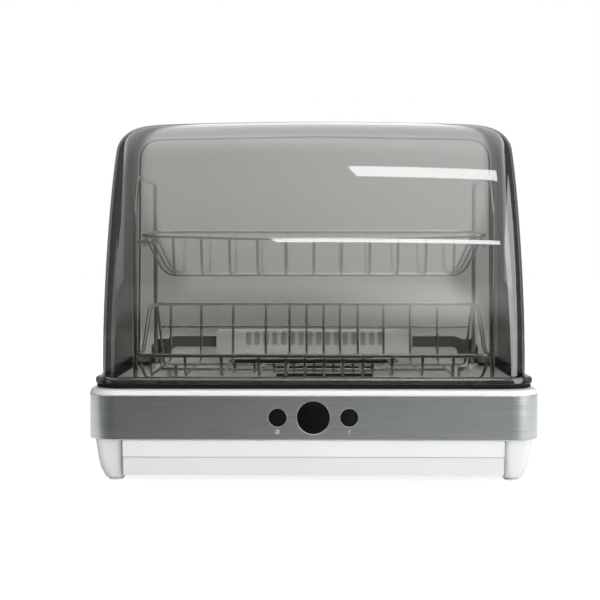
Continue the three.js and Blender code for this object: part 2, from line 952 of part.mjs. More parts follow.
function controlBoard() {
  return box(
    [-boardWidth / 2, boardWidth / 2],
    [atDepth(boardFront), atDepth(boardFront + boardThickness)],
    [controlHeight - boardHeight / 2, controlHeight + boardHeight / 2],
  );
}

// The lid

/** One level outline of the dome. The wall is 0 for its outside and lidWall for its inside. */
function lidRing(t, wall) {
  const top = lidTop - wall;
  const front = new THREE.CubicBezierCurve(
    new THREE.Vector2(lidFront + wall, lidBottom),
    new THREE.Vector2(lidFront + wall, lidBottom + lidFrontRise),
    new THREE.Vector2(lidTopFront - lidTopReach, top),
    new THREE.Vector2(lidTopFront, top),
  ).getPoint(t);
  const level = front.y;
  const roundInset = (radius) => {
    const over = Math.max(0, level - (top - radius));
    return radius - Math.sqrt(Math.max(0, radius * radius - over * over));
  };
  const rise = (level - lidBottom) / (lidTop - lidBottom);
  const half = lidWidth / 2 - wall - lidTaper * rise - roundInset(lidTopRadius - wall);
  const points = ring(
    {
      half,
      front: front.x,
      rear: lidRear - wall - roundInset(lidRearRadius - wall),
      frontRadius: lidFrontRadius - wall,
      rearRadius: lidRearRadius - wall,
      z: level,
    },
    lidArcSteps,
    lidSpans,
  );
  for (const p of points) p.z -= lidCrown * rise * rise * ((2 * p.x) / lidWidth) ** 2;
  return points;
}

function lid() {
  const levels = Array.from({ length: lidLevels + 1 }, (_, i) => i / lidLevels);
  const outside = loft(levels.map((t) => lidRing(t, 0)));
  const innerRings = levels.map((t) => lidRing(t, lidWall));
  const mouth = innerRings[0].map((p) => new THREE.Vector3(p.x, p.y, lidBottom - overrun));
  return cut(outside, loft([mouth, ...innerRings]));
}

/** A level outline that stands proud of the dome's foot, less so at the back. */
function rimOutline(proud, z) {
  const back = Math.min(proud, rimRearProud);
  return {
    half: lidWidth / 2 + proud,
    front: lidFront - proud,
    rear: lidRear + back,
    frontRadius: lidFrontRadius + proud,
    rearRadius: lidRearRadius + back,
    z,
  };
}

/** The frame bonded round the dome's foot. */
function lidRim() {
  const outside = loft([
    ring(rimOutline(rimProud, lidBottom)),
    ring(rimOutline(rimProud, lidBottom + rimShoulder)),
    ring(rimOutline(rimBevel, lidBottom + rimHeight)),
  ]);
  const inside = prism(rimOutline(gap, 0), [lidBottom - overrun, lidBottom + rimHeight + overrun]);
  return cut(outside, inside);
}

function lidSeal() {
  const z = [sealBottom, sealBottom + sealHeight];
  const cutRange = [z[0] - overrun, z[1] + overrun];
  return cut(
    prism(rimOutline(rimProud - sealInset, 0), z),
    prism(rimOutline(rimProud - sealInset - sealWidth, 0), cutRange),
  );
}

// The hinge

function hingeBracket(side) {
  const x = (side * hingeSpacing) / 2;
  const earOffset = knuckleWidth / 2 + runningGap;
  const earDepths = [hingeDepth - knuckleRadius, hingeDepth + knuckleRadius];
  const plate = box(
    [x - earOffset - earThickness, x + earOffset + earThickness],
    [atDepth(earDepths[0]), atDepth(earDepths[1])],
    [deckTop + gap, deckTop + gap + bracketPlate],
  );
  const ears = [-1, 1].map((end) => {
    const inner = x + end * earOffset;
    const range = [Math.min(inner, inner + end * earThickness), Math.max(inner, inner + end * earThickness)];
    const post = box(
      range,
      [atDepth(earDepths[0]), atDepth(earDepths[1])],
      [deckTop + gap + bracketPlate / 2, hingeHeight],
    );
    return join(post, barAlongX(knuckleRadius, range, hingeDepth, hingeHeight));
  });
  const bore = barAlongX(pinRadius + gap, [x - knuckleWidth * 2, x + knuckleWidth * 2], hingeDepth, hingeHeight);
  return cut(join(plate, ears), bore);
}

function hingePin(side) {
  const x = (side * hingeSpacing) / 2;
  const half = knuckleWidth / 2 + runningGap + earThickness;
  return barAlongX(pinRadius, [x - half, x + half], hingeDepth, hingeHeight);
}

function hingeLeaf(side) {
  const x = (side * hingeSpacing) / 2;
  const half = knuckleWidth / 2;
  const knuckle = barAlongX(knuckleRadius, [x - half, x + half], hingeDepth, hingeHeight);
  const face = lidRear + gap;
  const plate = box(
    [x - half, x + half],
    [atDepth(face), atDepth(face + leafThickness)],
    [hingeHeight - leafDrop, hingeHeight + leafRise],
  );
  const arm = box(
    [x - half, x + half],
    [atDepth(face), atDepth(hingeDepth)],
    [hingeHeight - leafThickness, hingeHeight + leafThickness],
  );
  const bore = barAlongX(pinRadius + gap, [x - knuckleWidth, x + knuckleWidth], hingeDepth, hingeHeight);
  return cut(join(knuckle, plate, arm), bore);
}

// The rear duct, outlet, heater and fan

/** The duct wall's outline in X and Z, with its two upper corners rounded. */
function ductOutline(inset, bottom, lowerHalf) {
  const half = ductWidth / 2 - inset;
  const top = ductTop - inset;
  const radius = ductRadius - inset;
  const shelf = deckTop + 2 * gap;
  const shape = new THREE.Shape();
  shape.moveTo(-lowerHalf, bottom);
  shape.lineTo(lowerHalf, bottom);
  if (bottom < shelf && lowerHalf < half) {
    shape.lineTo(lowerHalf, shelf);
    shape.lineTo(half, shelf);
  }
  shape.absarc(half - radius, top - radius, radius, 0, Math.PI / 2);
  shape.absarc(radius - half, top - radius, radius, Math.PI / 2, Math.PI);
  if (bottom < shelf && lowerHalf < half) {
    shape.lineTo(-half, shelf);
    shape.lineTo(-lowerHalf, shelf);
  }
  return shape;
}

function rearDuct() {
  const bottom = basinFloorTop + runningGap;
  const shelf = deckTop + 2 * gap;
  const panel = plateAlongY(ductOutline(0, bottom, ductLowerWidth / 2), [ductFront, ductFront + ductPanel]);
  const hood = plateAlongY(ductOutline(0, shelf, ductWidth / 2), [ductFront + gap, ductRear]);
  const inner = ductOutline(ductPanel, shelf - overrun, ductWidth / 2 - ductPanel);
  const hollow = plateAlongY(inner, [ductFront + ductPanel, ductRear + overrun]);
  const barPitch = grilleHeight / grilleRows;
  const windows = Array.from({ length: grilleRows }, (_, row) =>
    box(
      [-grilleLeft, grilleRight],
      [atDepth(ductFront - overrun), atDepth(ductFront + ductPanel + overrun)],
      [
        grilleBottom + row * barPitch + (row > 0 ? grilleBar / 2 : 0),
        grilleBottom + (row + 1) * barPitch - (row < grilleRows - 1 ? grilleBar / 2 : 0),
      ],
    ),
  );
  const outletPassage = box(
    [-outletWidth / 2 + 2 * outletWall, outletWidth / 2 - 2 * outletWall],
    [atDepth(ductFront - overrun), atDepth(ductFront + ductPanel + overrun)],
    [outletBottom + 2 * outletWall, ductTop - 2 * ductPanel],
  );
  return cut(join(panel, cut(hood, hollow)), windows, outletPassage);
}

/** The dark strip round the duct wall's upper edge, on both sides of the outlet housing. */
function ductTrim() {
  const depths = [ductFront - gap - trimThickness, ductFront - gap];
  const inner = ductOutline(trimWidth, trimEnd - overrun, ductWidth / 2 - trimWidth);
  const strip = cut(
    plateAlongY(ductOutline(gap, trimEnd, ductWidth / 2 - gap), depths),
    plateAlongY(inner, [depths[0] - overrun, depths[1] + overrun]),
  );
  return strip;
}

function airScreen() {
  const depths = [ductFront + ductPanel + gap, ductFront + ductPanel + gap + screenThickness];
  const low = grilleBottom + gap;
  const plate = box([-grilleLeft, grilleRight], depths.map(atDepth), [low, grilleTop]);
  const pitch = (grilleLeft + grilleRight) / screenBarCount;
  const openings = Array.from({ length: screenBarCount }, (_, i) =>
    box(
      [-grilleLeft + i * pitch + screenBar, -grilleLeft + (i + 1) * pitch - screenBar],
      [atDepth(depths[0] - overrun), atDepth(depths[1] + overrun)],
      [low + 2 * screenBar, grilleTop - 2 * screenBar],
    ),
  );
  return cut(plate, openings);
}

function outletHousing() {
  const rear = ductFront - 2 * gap - trimThickness;
  const front = rear - outletDepth;
  const half = outletWidth / 2;
  const shellOutline = (inset) => {
    const shape = new THREE.Shape();
    const low = outletBottom + inset;
    const high = outletTop - inset;
    const radius = Math.max(outletRadius - inset, gap);
    const x = half - inset;
    shape.moveTo(-x, low);
    shape.lineTo(x, low);
    shape.absarc(x - radius, high - radius, radius, 0, Math.PI / 2);
    shape.absarc(radius - x, high - radius, radius, Math.PI / 2, Math.PI);
    return shape;
  };
  const shell = plateAlongY(shellOutline(0), [front, rear], smallSteps);
  const hollow = plateAlongY(shellOutline(outletWall), [front + outletWall, rear + overrun], smallSteps);
  const slots = Array.from({ length: slotCount }, (_, i) => {
    const x = (i - (slotCount - 1) / 2) * slotPitch;
    const radius = slotWidth / 2;
    const shape = new THREE.Shape();
    shape.absarc(x, slotTop - radius, radius, 0, Math.PI);
    shape.absarc(x, slotBottom + radius, radius, Math.PI, 2 * Math.PI);
    return plateAlongY(shape, [front - overrun, front + outletWall + gap], smallSteps);
  });
  return cut(shell, hollow, slots);
}

/** A mica plate with ribs of heating ribbon, behind the outlet slots. */
function heater() {
  const front = ductFront - 2 * gap - trimThickness - outletDepth + outletWall + gap;
  const half = (slotCount * slotPitch) / 2;
  const low = slotBottom - outletWall;
  const plate = box(
    [-half, half],
    [atDepth(front + heaterRib), atDepth(front + heaterRib + heaterThickness)],
    [low, low + heaterHeight],
  );
  const pitch = (2 * half) / heaterRibCount;
  const ribs = Array.from({ length: heaterRibCount }, (_, i) => {
    const x = -half + (i + 1 / 2) * pitch;
    return box(
      [x - heaterRib, x + heaterRib],
      [atDepth(front), atDepth(front + heaterRib + heaterThickness / 2)],
      [low + heaterRib, low + heaterHeight - heaterRib],
    );
  });
  return join(plate, ribs);
}

function fanRotor() {
  const disc = (x) => barAlongX(fanRadius, x, fanDepth, fanHeight);
  const shaft = barAlongX(shaftRadius, [fanLeft - shaftReach, fanRight + shaftReach], fanDepth, fanHeight, tinySides);
  const blades = Array.from({ length: fanBlades }, (_, i) => {
    const blade = new THREE.BoxGeometry(fanRight - fanLeft - fanDisc, fanRadius - fanInnerRadius, bladeThickness);
    blade.rotateX(bladePitch);
    blade.translate((fanLeft + fanRight) / 2, (fanRadius + fanInnerRadius) / 2 - bladeThickness, 0);
    blade.rotateX((2 * Math.PI * i) / fanBlades);
    blade.translate(0, atDepth(fanDepth), fanHeight);
    return solidOf(blade);
  });
  return join(disc([fanLeft, fanLeft + fanDisc]), disc([fanRight - fanDisc, fanRight]), shaft, blades);
}

/** The curved sheet round the fan, open towards the duct. */
function fanScroll() {
  const radius = fanRadius + 2 * runningGap;
  const outer = barAlongX(radius + scrollThickness, [fanLeft, fanRight], fanDepth, fanHeight, largeSides);
  const inner = barAlongX(radius, [fanLeft - overrun, fanRight + overrun], fanDepth, fanHeight, largeSides);
  const mouth = box(
    [fanLeft - overrun, fanRight + overrun],
    [atDepth(fanDepth - 2 * fanRadius), atDepth(fanDepth - fanInnerRadius / 2)],
    [fanHeight - fanInnerRadius, fanHeight + 2 * fanRadius],
  );
  const base = box(
    [fanLeft, fanRight],
    [atDepth(fanDepth - fanInnerRadius / 2), atDepth(fanDepth + fanInnerRadius / 2)],
    [housingBottom + housingFloor + gap, fanHeight - fanInnerRadius],
  );
  return cut(join(outer, base), inner, mouth);
}

function fanMotor() {
  const right = fanLeft - shaftReach + motorBore;
  const x = [right - motorLength, right];
  const can = barAlongX(motorRadius, x, fanDepth, fanHeight);
  const cradle = box(
    [x[0] + overrun, x[1] - overrun],
    [atDepth(fanDepth - motorRadius / 2), atDepth(fanDepth + motorRadius / 2)],
    [housingBottom + housingFloor + gap, fanHeight],
  );
  const bore = barAlongX(shaftRadius + gap, [fanLeft - shaftReach - gap, right + overrun], fanDepth, fanHeight, tinySides);
  return cut(join(can, cradle), bore);
}

function fanBearing() {
  const left = fanRight + shaftReach - bearingThickness;
  const block = box(
    [left, left + bearingThickness + gap],
    [atDepth(fanDepth - bearingWidth / 2), atDepth(fanDepth + bearingWidth / 2)],
    [housingBottom + housingFloor + gap, fanHeight + bearingWidth / 2],
  );
  const bore = barAlongX(shaftRadius + gap, [left - overrun, left + bearingThickness], fanDepth, fanHeight, tinySides);
  return cut(block, bore);
}

// The wire parts

function sideFrame(side) {
  const x = side * halfFrame;
  const footLevel = deckTop - deckPlate + socketFloor + gap;
  const hoop = wire(
    [
      [x, frameFront, footLevel],
      [x, frameFront, frameShoulder],
      [x, frameTopFront, frameTop],
      [x, frameRear, frameTop],
      [x, frameRear, footLevel],
    ],
    frameWire,
    frameBend,
  );
  const bar = wire([[x, frameFront, frameBar], [x, frameRear, frameBar]], gridWire);
  return join(hoop, bar);
}

/** The plate wires, from under the rim at the front to under it at the back, tied by a wire below them. */
function lowerWires() {
  const below = railWire / 2 + gap;
  const wires = lowerWireShares.map((share) =>
    wire(
      [
        [share * lowerHalf, lowerFront, lowerFrontRail - below],
        [share * lowerHalf, lowerFront + lowerWallSlope, lowerFloor],
        [share * lowerHalf, lowerRear - lowerWallSlope, lowerFloor],
        [share * lowerHalf, lowerRear, lowerBackRail - below],
      ],
      gridWire,
      lowerBend,
    ),
  );
  const depth = (lowerFront + lowerRear) / 2;
  const level = lowerFloor - weldShare * gridWire;
  const ends = [lowerWireShares[0], lowerWireShares[lowerWireShares.length - 1]];
  const tie = wire(
    ends.map((share) => [share * lowerHalf + Math.sign(share) * gridWire, depth, level]),
    gridWire,
  );
  return join(wires, tie);
}

/** The basket's rim with the two cross wires and four legs that carry the plate wires. */
function lowerBasket() {
  const half = lowerHalf;
  const rail = rim(
    [
      [half, lowerRear, lowerBackRail],
      [half, lowerRiseRear, lowerBackRail],
      [half, lowerRiseFront, lowerFrontRail],
      [half, lowerFront, lowerFrontRail],
    ],
    railWire,
    lowerCorner,
  );
  const crossLevel = lowerFloor - gridWire - gap;
  const crossSpan = lowerRear - lowerFront - 2 * lowerCrossInset;
  const crosswise = Array.from({ length: lowerCrossWires }, (_, i) => {
    const depth = lowerFront + lowerCrossInset + (crossSpan * i) / (lowerCrossWires - 1);
    const risen = Math.min(Math.max((depth - lowerRiseFront) / (lowerRiseRear - lowerRiseFront), 0), 1);
    const railLevel = lowerFrontRail + (lowerBackRail - lowerFrontRail) * risen;
    return wire(
      [
        [-half, depth, railLevel],
        [lowerWallSlope - half, depth, crossLevel],
        [half - lowerWallSlope, depth, crossLevel],
        [half, depth, railLevel],
      ],
      gridWire,
      lowerCrossBend,
    );
  });
  const slopeAtMid = (lowerWallSlope * (lowerBackRail - lowerMidRail)) / (lowerBackRail - lowerFloor);
  const midDepth = lowerRear - slopeAtMid + gridWire + gap;
  const backDepth = lowerRear - lowerCrossInset;
  const sideAtMid = half - slopeAtMid;
  const back = wire(
    [
      [-sideAtMid, backDepth, lowerMidRail],
      [-sideAtMid, midDepth, lowerMidRail],
      [sideAtMid, midDepth, lowerMidRail],
      [sideAtMid, backDepth, lowerMidRail],
    ],
    gridWire,
    lowerBend,
  );
  const legs = [lowerFront + lowerCrossInset, lowerRear - lowerCrossInset].flatMap((depth) =>
    wirePair(
      [
        [half - lowerLegInset, depth, crossLevel],
        [half - lowerLegInset, depth, basinFloorTop + gap],
      ],
      railWire,
    ),
  );
  return join(rail, crosswise, back, legs);
}

function upperBasket() {
  const half = upperHalf;
  const rail = rim(
    [
      [half, upperRear, upperBackRail],
      [half, upperFront, upperFrontRail],
      [half * upperSagShare, upperFront, upperFrontRail - upperSag],
    ],
    railWire,
    upperCorner,
  );
  const sagAt = (x) => {
    const share = Math.abs(x) / half;
    return share < upperSagShare ? upperSag : (upperSag * (1 - share)) / (1 - upperSagShare);
  };
  const lengthwise = Array.from({ length: upperWires }, (_, i) => {
    const x = (i - (upperWires - 1) / 2) * upperWirePitch;
    return wire(
      [
        [x, upperFront, upperFrontRail - sagAt(x)],
        [x, upperFront + upperEndSlope, upperFloor],
        [x, upperRear - upperEndSlope, upperFloor],
        [x, upperRear, upperBackRail],
      ],
      gridWire,
      upperBend,
    );
  });
  const crossLevel = upperFloor - weldShare * gridWire;
  const crossFront = upperFront + upperEndSlope + upperCrossInset;
  const crossSpan = upperRear - upperFront - 2 * (upperEndSlope + upperCrossInset);
  const crosswise = Array.from({ length: upperCrossWires }, (_, i) => {
    const share = i / (upperCrossWires - 1);
    const depth = crossFront + crossSpan * share;
    const along = (depth - upperFront) / (upperRear - upperFront);
    const railLevel = upperFrontRail + (upperBackRail - upperFrontRail) * along;
    return wire(
      [
        [-half, depth, railLevel],
        [upperSideSlope - half, depth, crossLevel],
        [half - upperSideSlope, depth, crossLevel],
        [half, depth, railLevel],
      ],
      gridWire,
      upperBend,
    );
  });
  const hookLevel = frameBar + gridWire + gap;
  const hooks = [upperFront + hookInset, upperRear - hookInset].flatMap((depth) => {
    const along = (depth - upperFront) / (upperRear - upperFront);
    const railLevel = upperFrontRail + (upperBackRail - upperFrontRail) * along;
    return wirePair(
      [
        [half, depth, railLevel],
        [half, depth, hookLevel],
        [half + hookReach, depth, hookLevel],
        [half + hookReach, depth, hookLevel - hookDrop],
      ],
      gridWire,
      gridWire,
    );
  });
  return join(rail, lengthwise, crosswise, hooks);
}

function cutleryTray() {
  const half = cutleryWidth / 2;
  const rail = rim(
    [
      [half, cutleryRear, cutleryRim],
      [half, cutleryFront, cutleryRim],
    ],
    cutleryWire,
    cutleryCorner,
  );
  const frontBar = wire(
    [[-half + cutleryCorner, cutleryFront, cutleryRim], [half - 2 * cutleryCorner, cutleryFront, cutleryRim]],
    cutleryBar,
  );
  const floor = lowerFloor + gridWire / 2 + gap + cutleryWire / 2;
  const pitch = (cutleryWidth - 2 * cutleryCorner) / (cutleryWires - 1);
  const loops = Array.from({ length: cutleryWires }, (_, i) => {
    const x = -half + cutleryCorner + i * pitch;
    return wire(
      [
        [x, cutleryFront, cutleryRim],
        [x, cutleryFront + cutleryWire, floor],
        [x, cutleryRear - cutleryWire, floor],
        [x, cutleryRear, cutleryRim],
      ],
      cutleryWire,
      cutleryWire,
    );
  });
  return join(rail, frontBar, loops);
}

const sides = { left: -1, right: 1 };
const ends = { front: 1, rear: -1 };

piece("base_housing", baseHousing(), "whitePlastic");
piece("deck", deck(), "whitePlastic");
piece("basin", basin(), "whitePlastic");
piece("steel_band", steelBand(), "brushedSteel");
for (const [end, endSign] of Object.entries(ends))
  for (const [side, sideSign] of Object.entries(sides)) {
    piece(`foot_${end}_${side}`, foot(sideSign, endSign), "whitePlastic");
    piece(`foot_pad_${end}_${side}`, footPad(sideSign, endSign), "rubber");
  }
piece("cord_gland", cordGland(), "blackPlastic");
piece("drip_tray", dripTray(), "whitePlastic");
piece("tray_runner_left", trayRunner(sides.left), "whitePlastic");
piece("tray_runner_right", trayRunner(sides.right), "whitePlastic");
piece("button_off", pushButton(sides.left), "blackGloss");
piece("button_on", pushButton(sides.right), "blackGloss");
piece("switch_off", pushSwitch(sides.left), "blackPlastic");
piece("switch_on", pushSwitch(sides.right), "blackPlastic");
piece("display_window", displayWindow(), "blackGloss");
piece("display_block", displayBlock(), "blackPlastic");
piece("control_board", controlBoard(), "circuitBoard");
piece("lid", lid(), "smokedPlastic");
piece("lid_rim", lidRim(), "smokedPlastic");
piece("lid_seal", lidSeal(), "rubber");
for (const [side, sign] of Object.entries(sides)) {
  piece(`hinge_bracket_${side}`, hingeBracket(sign), "whitePlastic");
  piece(`hinge_pin_${side}`, hingePin(sign), "zincSteel");
  piece(`hinge_leaf_${side}`, hingeLeaf(sign), "darkPlastic");
}
piece("rear_duct", rearDuct(), "whitePlastic");
piece("duct_trim", ductTrim(), "darkPlastic");
piece("air_screen", airScreen(), "blackPlastic");
piece("outlet_housing", outletHousing(), "whitePlastic");
piece("heater", heater(), "mica");
piece("fan_rotor", fanRotor(), "darkPlastic");
piece("fan_scroll", fanScroll(), "zincSteel");
piece("fan_motor", fanMotor(), "zincSteel");
piece("fan_bearing", fanBearing(), "blackPlastic");
piece("side_frame_left", sideFrame(sides.left), "steelWire");
piece("side_frame_right", sideFrame(sides.right), "steelWire");
piece("lower_basket", lowerBasket(), "steelWire");
piece("lower_basket_wires", lowerWires(), "steelWire");
piece("upper_basket", upperBasket(), "steelWire");
piece("cutlery_tray", cutleryTray(), "steelWire");

export default dryer;
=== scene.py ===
"""The looks of an electric dish dryer, built over its CAD frame.

Sizes are millimetres. A place is written (x, depth, z), where depth runs back from the front face of the
steel band. Meshes are made in metres in the frame's own axes.
"""

import json
import logging
import math
from dataclasses import dataclass, field
from enum import Enum
from typing import Callable, Iterable, Optional, Sequence, Union

import bmesh
import bpy
import numpy as np
from mathutils import Euler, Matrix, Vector

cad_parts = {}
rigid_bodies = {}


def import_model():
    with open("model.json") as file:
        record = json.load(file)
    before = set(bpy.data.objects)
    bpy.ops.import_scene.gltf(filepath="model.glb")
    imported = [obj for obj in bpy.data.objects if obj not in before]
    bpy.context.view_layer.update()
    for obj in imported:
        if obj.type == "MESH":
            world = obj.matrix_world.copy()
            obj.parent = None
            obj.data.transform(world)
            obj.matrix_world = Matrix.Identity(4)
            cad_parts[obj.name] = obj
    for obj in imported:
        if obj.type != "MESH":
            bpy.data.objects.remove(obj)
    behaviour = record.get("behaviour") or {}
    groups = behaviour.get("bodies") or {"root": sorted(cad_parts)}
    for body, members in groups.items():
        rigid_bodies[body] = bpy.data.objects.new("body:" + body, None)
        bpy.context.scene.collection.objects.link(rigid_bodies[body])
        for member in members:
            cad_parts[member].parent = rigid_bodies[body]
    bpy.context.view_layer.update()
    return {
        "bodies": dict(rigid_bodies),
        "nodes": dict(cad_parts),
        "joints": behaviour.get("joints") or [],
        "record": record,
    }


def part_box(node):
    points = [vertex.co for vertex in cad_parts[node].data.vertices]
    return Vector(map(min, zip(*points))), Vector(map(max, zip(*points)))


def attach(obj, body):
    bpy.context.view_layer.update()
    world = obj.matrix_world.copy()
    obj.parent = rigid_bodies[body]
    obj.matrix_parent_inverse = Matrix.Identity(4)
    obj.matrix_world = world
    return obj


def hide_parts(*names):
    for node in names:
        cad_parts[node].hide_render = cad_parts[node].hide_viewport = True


LOG = logging.getLogger("dryer")
MM = 0.001
FRONT_Y = -164.4
EDGE_ANGLE = 40.0
SIDES = ("left", "right")

Colour = tuple[float, float, float]
Place = tuple[float, float, float]
Profile = Sequence[tuple[float, float]]
Value = Union["Term", float]
PURE: Colour = (1.0, 1.0, 1.0)
SCRATCH = 0.00002


class Slot(Enum):
    """Material slots of the record."""

    WHITE = "white_plastic"
    SMOKED = "smoked_plastic"
    BAND = "band_steel"
    WIRE = "wire_steel"
    GLOSS = "black_gloss"
    BLACK = "black_plastic"
    DARK = "dark_plastic"
    RUBBER = "rubber"
    BOARD = "circuit_board"
    MICA = "mica"
    ZINC = "zinc_steel"


class Axis(Enum):
    """Directions in (x, depth, z)."""

    X = (1.0, 0.0, 0.0)
    DEPTH = (0.0, 1.0, 0.0)
    Z = (0.0, 0.0, 1.0)


# Shader graphs


class Term:
    """A value inside a shader graph. Arithmetic on it adds Math nodes."""

    def __init__(self, graph: "Graph", socket: bpy.types.NodeSocket) -> None:
        """Keeps the graph and the socket that gives the value."""
        self.graph = graph
        self.socket = socket

    def _math(self, operation: str, *values: Value) -> "Term":
        """The result of a Math node with this operation on these values."""
        return self.graph.node("ShaderNodeMath", dict(enumerate(values)), operation=operation)

    def __add__(self, other: Value) -> "Term":
        """This value plus another."""
        return self._math("ADD", self, other)

    __radd__ = __add__

    def __sub__(self, other: Value) -> "Term":
        """This value less another."""
        return self._math("SUBTRACT", self, other)

    def __rsub__(self, other: Value) -> "Term":
        """Another value less this one."""
        return self._math("SUBTRACT", other, self)

    def __mul__(self, other: Value) -> "Term":
        """This value times another."""
        return self._math("MULTIPLY", self, other)

    __rmul__ = __mul__

    def __pow__(self, other: Value) -> "Term":
        """This value raised to a power."""
        return self._math("POWER", self, other)

    def step(self, low: float, high: float) -> "Term":
        """A smooth rise from 0 at low to 1 at high."""
        limits = {0: self, 1: low, 2: high}
        return self.graph.node("ShaderNodeMapRange", limits, interpolation_type="SMOOTHSTEP", clamp=True)

    def wave(self) -> "Term":
        """The sine of this value."""
        return self._math("SINE", self)

    def clamp(self) -> "Term":
        """This value kept between 0 and 1."""
        return self.graph.node("ShaderNodeClamp", {0: self, 1: 0.0, 2: 1.0})


class Graph:
    """The node tree of one material, or of the world."""

    def __init__(self, name: str, world: Optional[bpy.types.World] = None) -> None:
        """Starts an empty tree.

        Args:
            name: The name of a new material.
            world: The world to work on in place of a material.
        """
        self.material = world or bpy.data.materials.new(name)
        self.material.use_nodes = True
        self.tree = self.material.node_tree
        self.tree.nodes.clear()

    def node(
        self,
        kind: str,
        inputs: Optional[dict] = None,
        output: Union[int, str] = 0,
        **settings: object,
    ) -> Term:
        """Any node, with its settings and inputs.

        Args:
            kind: The node's type.
            inputs: Values or terms by the input's name or number.
            output: The name or number of the output wanted.
            settings: Attributes of the node.

        Returns:
            The chosen output.
        """
        made = self.tree.nodes.new(kind)
        for name, value in settings.items():
            setattr(made, name, value)
        for key, value in (inputs or {}).items():
            if isinstance(value, Term):
                self.tree.links.new(value.socket, made.inputs[key])
            else:
                made.inputs[key].default_value = value
        return Term(self, made.outputs[output])

    def place(self) -> Term:
        """Where the shaded point is, in metres."""
        return self.node("ShaderNodeTexCoord", output="Object")

    def axis(self, name: str) -> Term:
        """One coordinate of the shaded point, in metres: "X", "Y" or "Z"."""
        return self.node("ShaderNodeSeparateXYZ", {0: self.place()}, output=name)

    def noise(self, scale: float, detail: float = 2.0, stretch: Sequence[float] = (1.0, 1.0, 1.0)) -> Term:
        """Cloudy variation from 0 to 1.

        Args:
            scale: Features per metre.
            detail: Octaves of finer variation.
            stretch: How much denser the variation is along each axis.

        Returns:
            The noise value.
        """
        where = self.node("ShaderNodeMapping", {"Vector": self.place(), "Scale": tuple(stretch)})
        return self.node("ShaderNodeTexNoise", {"Vector": where, "Scale": scale, "Detail": detail})

    def mix(self, factor: Union[Term, float], first: object, second: object) -> Term:
        """A colour between two others."""
        return self.node("ShaderNodeMix", {0: factor, 6: first, 7: second}, output=2, data_type="RGBA")

    def bump(self, height: Term, depth: float, strength: float = 1.0) -> Term:
        """A normal bent by a height, with its full depth in metres."""
        return self.node("ShaderNodeBump", {"Height": height, "Distance": depth, "Strength": strength})

    def principled(self, **inputs: object) -> Term:
        """A Principled surface; an underscore in a name stands for a space."""
        return self.node("ShaderNodeBsdfPrincipled", {k.replace("_", " "): v for k, v in inputs.items()})

    def finish(self, surface: Term) -> bpy.types.Material:
        """Connects the surface to the output.

        Args:
            surface: The shader.

        Returns:
            The material, or the world.
        """
        world = isinstance(self.material, bpy.types.World)
        out = self.tree.nodes.new("ShaderNodeOutputWorld" if world else "ShaderNodeOutputMaterial")
        self.tree.links.new(surface.socket, out.inputs["Surface"])
        return self.material


def rgba(colour: Colour) -> tuple[float, float, float, float]:
    """A colour with full alpha."""
    return (*colour, 1.0)


def scaled(colour: Colour, share: float) -> tuple[float, float, float, float]:
    """A colour made lighter or darker by a share."""
    return rgba(tuple(min(c * share, 1.0) for c in colour))


# Finishes


@dataclass(frozen=True)
class Finish:
    """A surface finish, made into a material once and then shared."""

    name: str
    slot: Slot
    colour: Colour
    roughness: float

    def surface(self, graph: Graph) -> Term:
        """The shader that gives this finish."""
        raise NotImplementedError

    def shades(self, graph: Graph, tone: Term, spread: float) -> Term:
        """The colour, darker by the spread where the tone is 0 and lighter by it where the tone is 1."""
        return graph.mix(tone, scaled(self.colour, 1.0 - spread), scaled(self.colour, 1.0 + spread))

    def uneven(self, cloud: Term, spread: float) -> Term:
        """The roughness, varied by a spread about its mean."""
        return (self.roughness + (cloud - 0.5) * spread).clamp()

    def material(self) -> bpy.types.Material:
        """The material of this finish.

        Returns:
            The material already made under this name, or a new one.
        """
        known = bpy.data.materials.get(self.name)
        if known is not None:
            return known
        graph = Graph(self.name)
        return graph.finish(self.surface(graph))


@dataclass(frozen=True)
class Moulded(Finish):
    """Moulded plastic or rubber: faint mottle, fine grain and uneven sheen."""

    mottle: float = 0.03
    grain: float = 0.00001
    shine: float = 0.5
    cloud_scale: float = 9.0
    speck_scale: float = 900.0
    sheen_scale: float = 35.0
    grain_scale: float = 1400.0

    def surface(self, graph: Graph) -> Term:
        """The shader that gives this finish.

        Args:
            graph: The graph to make it in.

        Returns:
            The surface.
        """
        cloud, speck = graph.noise(self.cloud_scale, 3.0), graph.noise(self.speck_scale, 1.0)
        return graph.principled(
            Base_Color=self.shades(graph, (cloud * 0.7 + speck * 0.3).step(0.3, 0.7), self.mottle),
            Roughness=self.uneven(graph.noise(self.sheen_scale, 4.0), 0.16),
            Specular_IOR_Level=self.shine,
            Normal=graph.bump(graph.noise(self.grain_scale), self.grain),
        )


@dataclass(frozen=True)
class Brushed(Finish):
    """Sheet steel with fine scratches along its length."""

    streak: float = 0.1
    fine_scale: tuple[float, float, float] = (26.0, 26.0, 2600.0)
    broad_scale: tuple[float, float, float] = (9.0, 9.0, 420.0)
    cloud_scale: float = 14.0
    brushing: float = 0.35

    def surface(self, graph: Graph) -> Term:
        """The shader that gives this finish.

        Args:
            graph: The graph to make it in.

        Returns:
            The surface.
        """
        fine = graph.noise(1.0, 4.0, self.fine_scale)
        broad = graph.noise(1.0, 3.0, self.broad_scale)
        tone = (fine * 0.5 + broad * 0.3 + graph.noise(self.cloud_scale) * 0.2).step(0.3, 0.7)
        return graph.principled(
            Base_Color=self.shades(graph, tone, self.streak),
            Metallic=1.0,
            Roughness=self.uneven(fine, 0.2),
            Anisotropic=self.brushing,
            Normal=graph.bump(fine, SCRATCH, 0.5),
        )


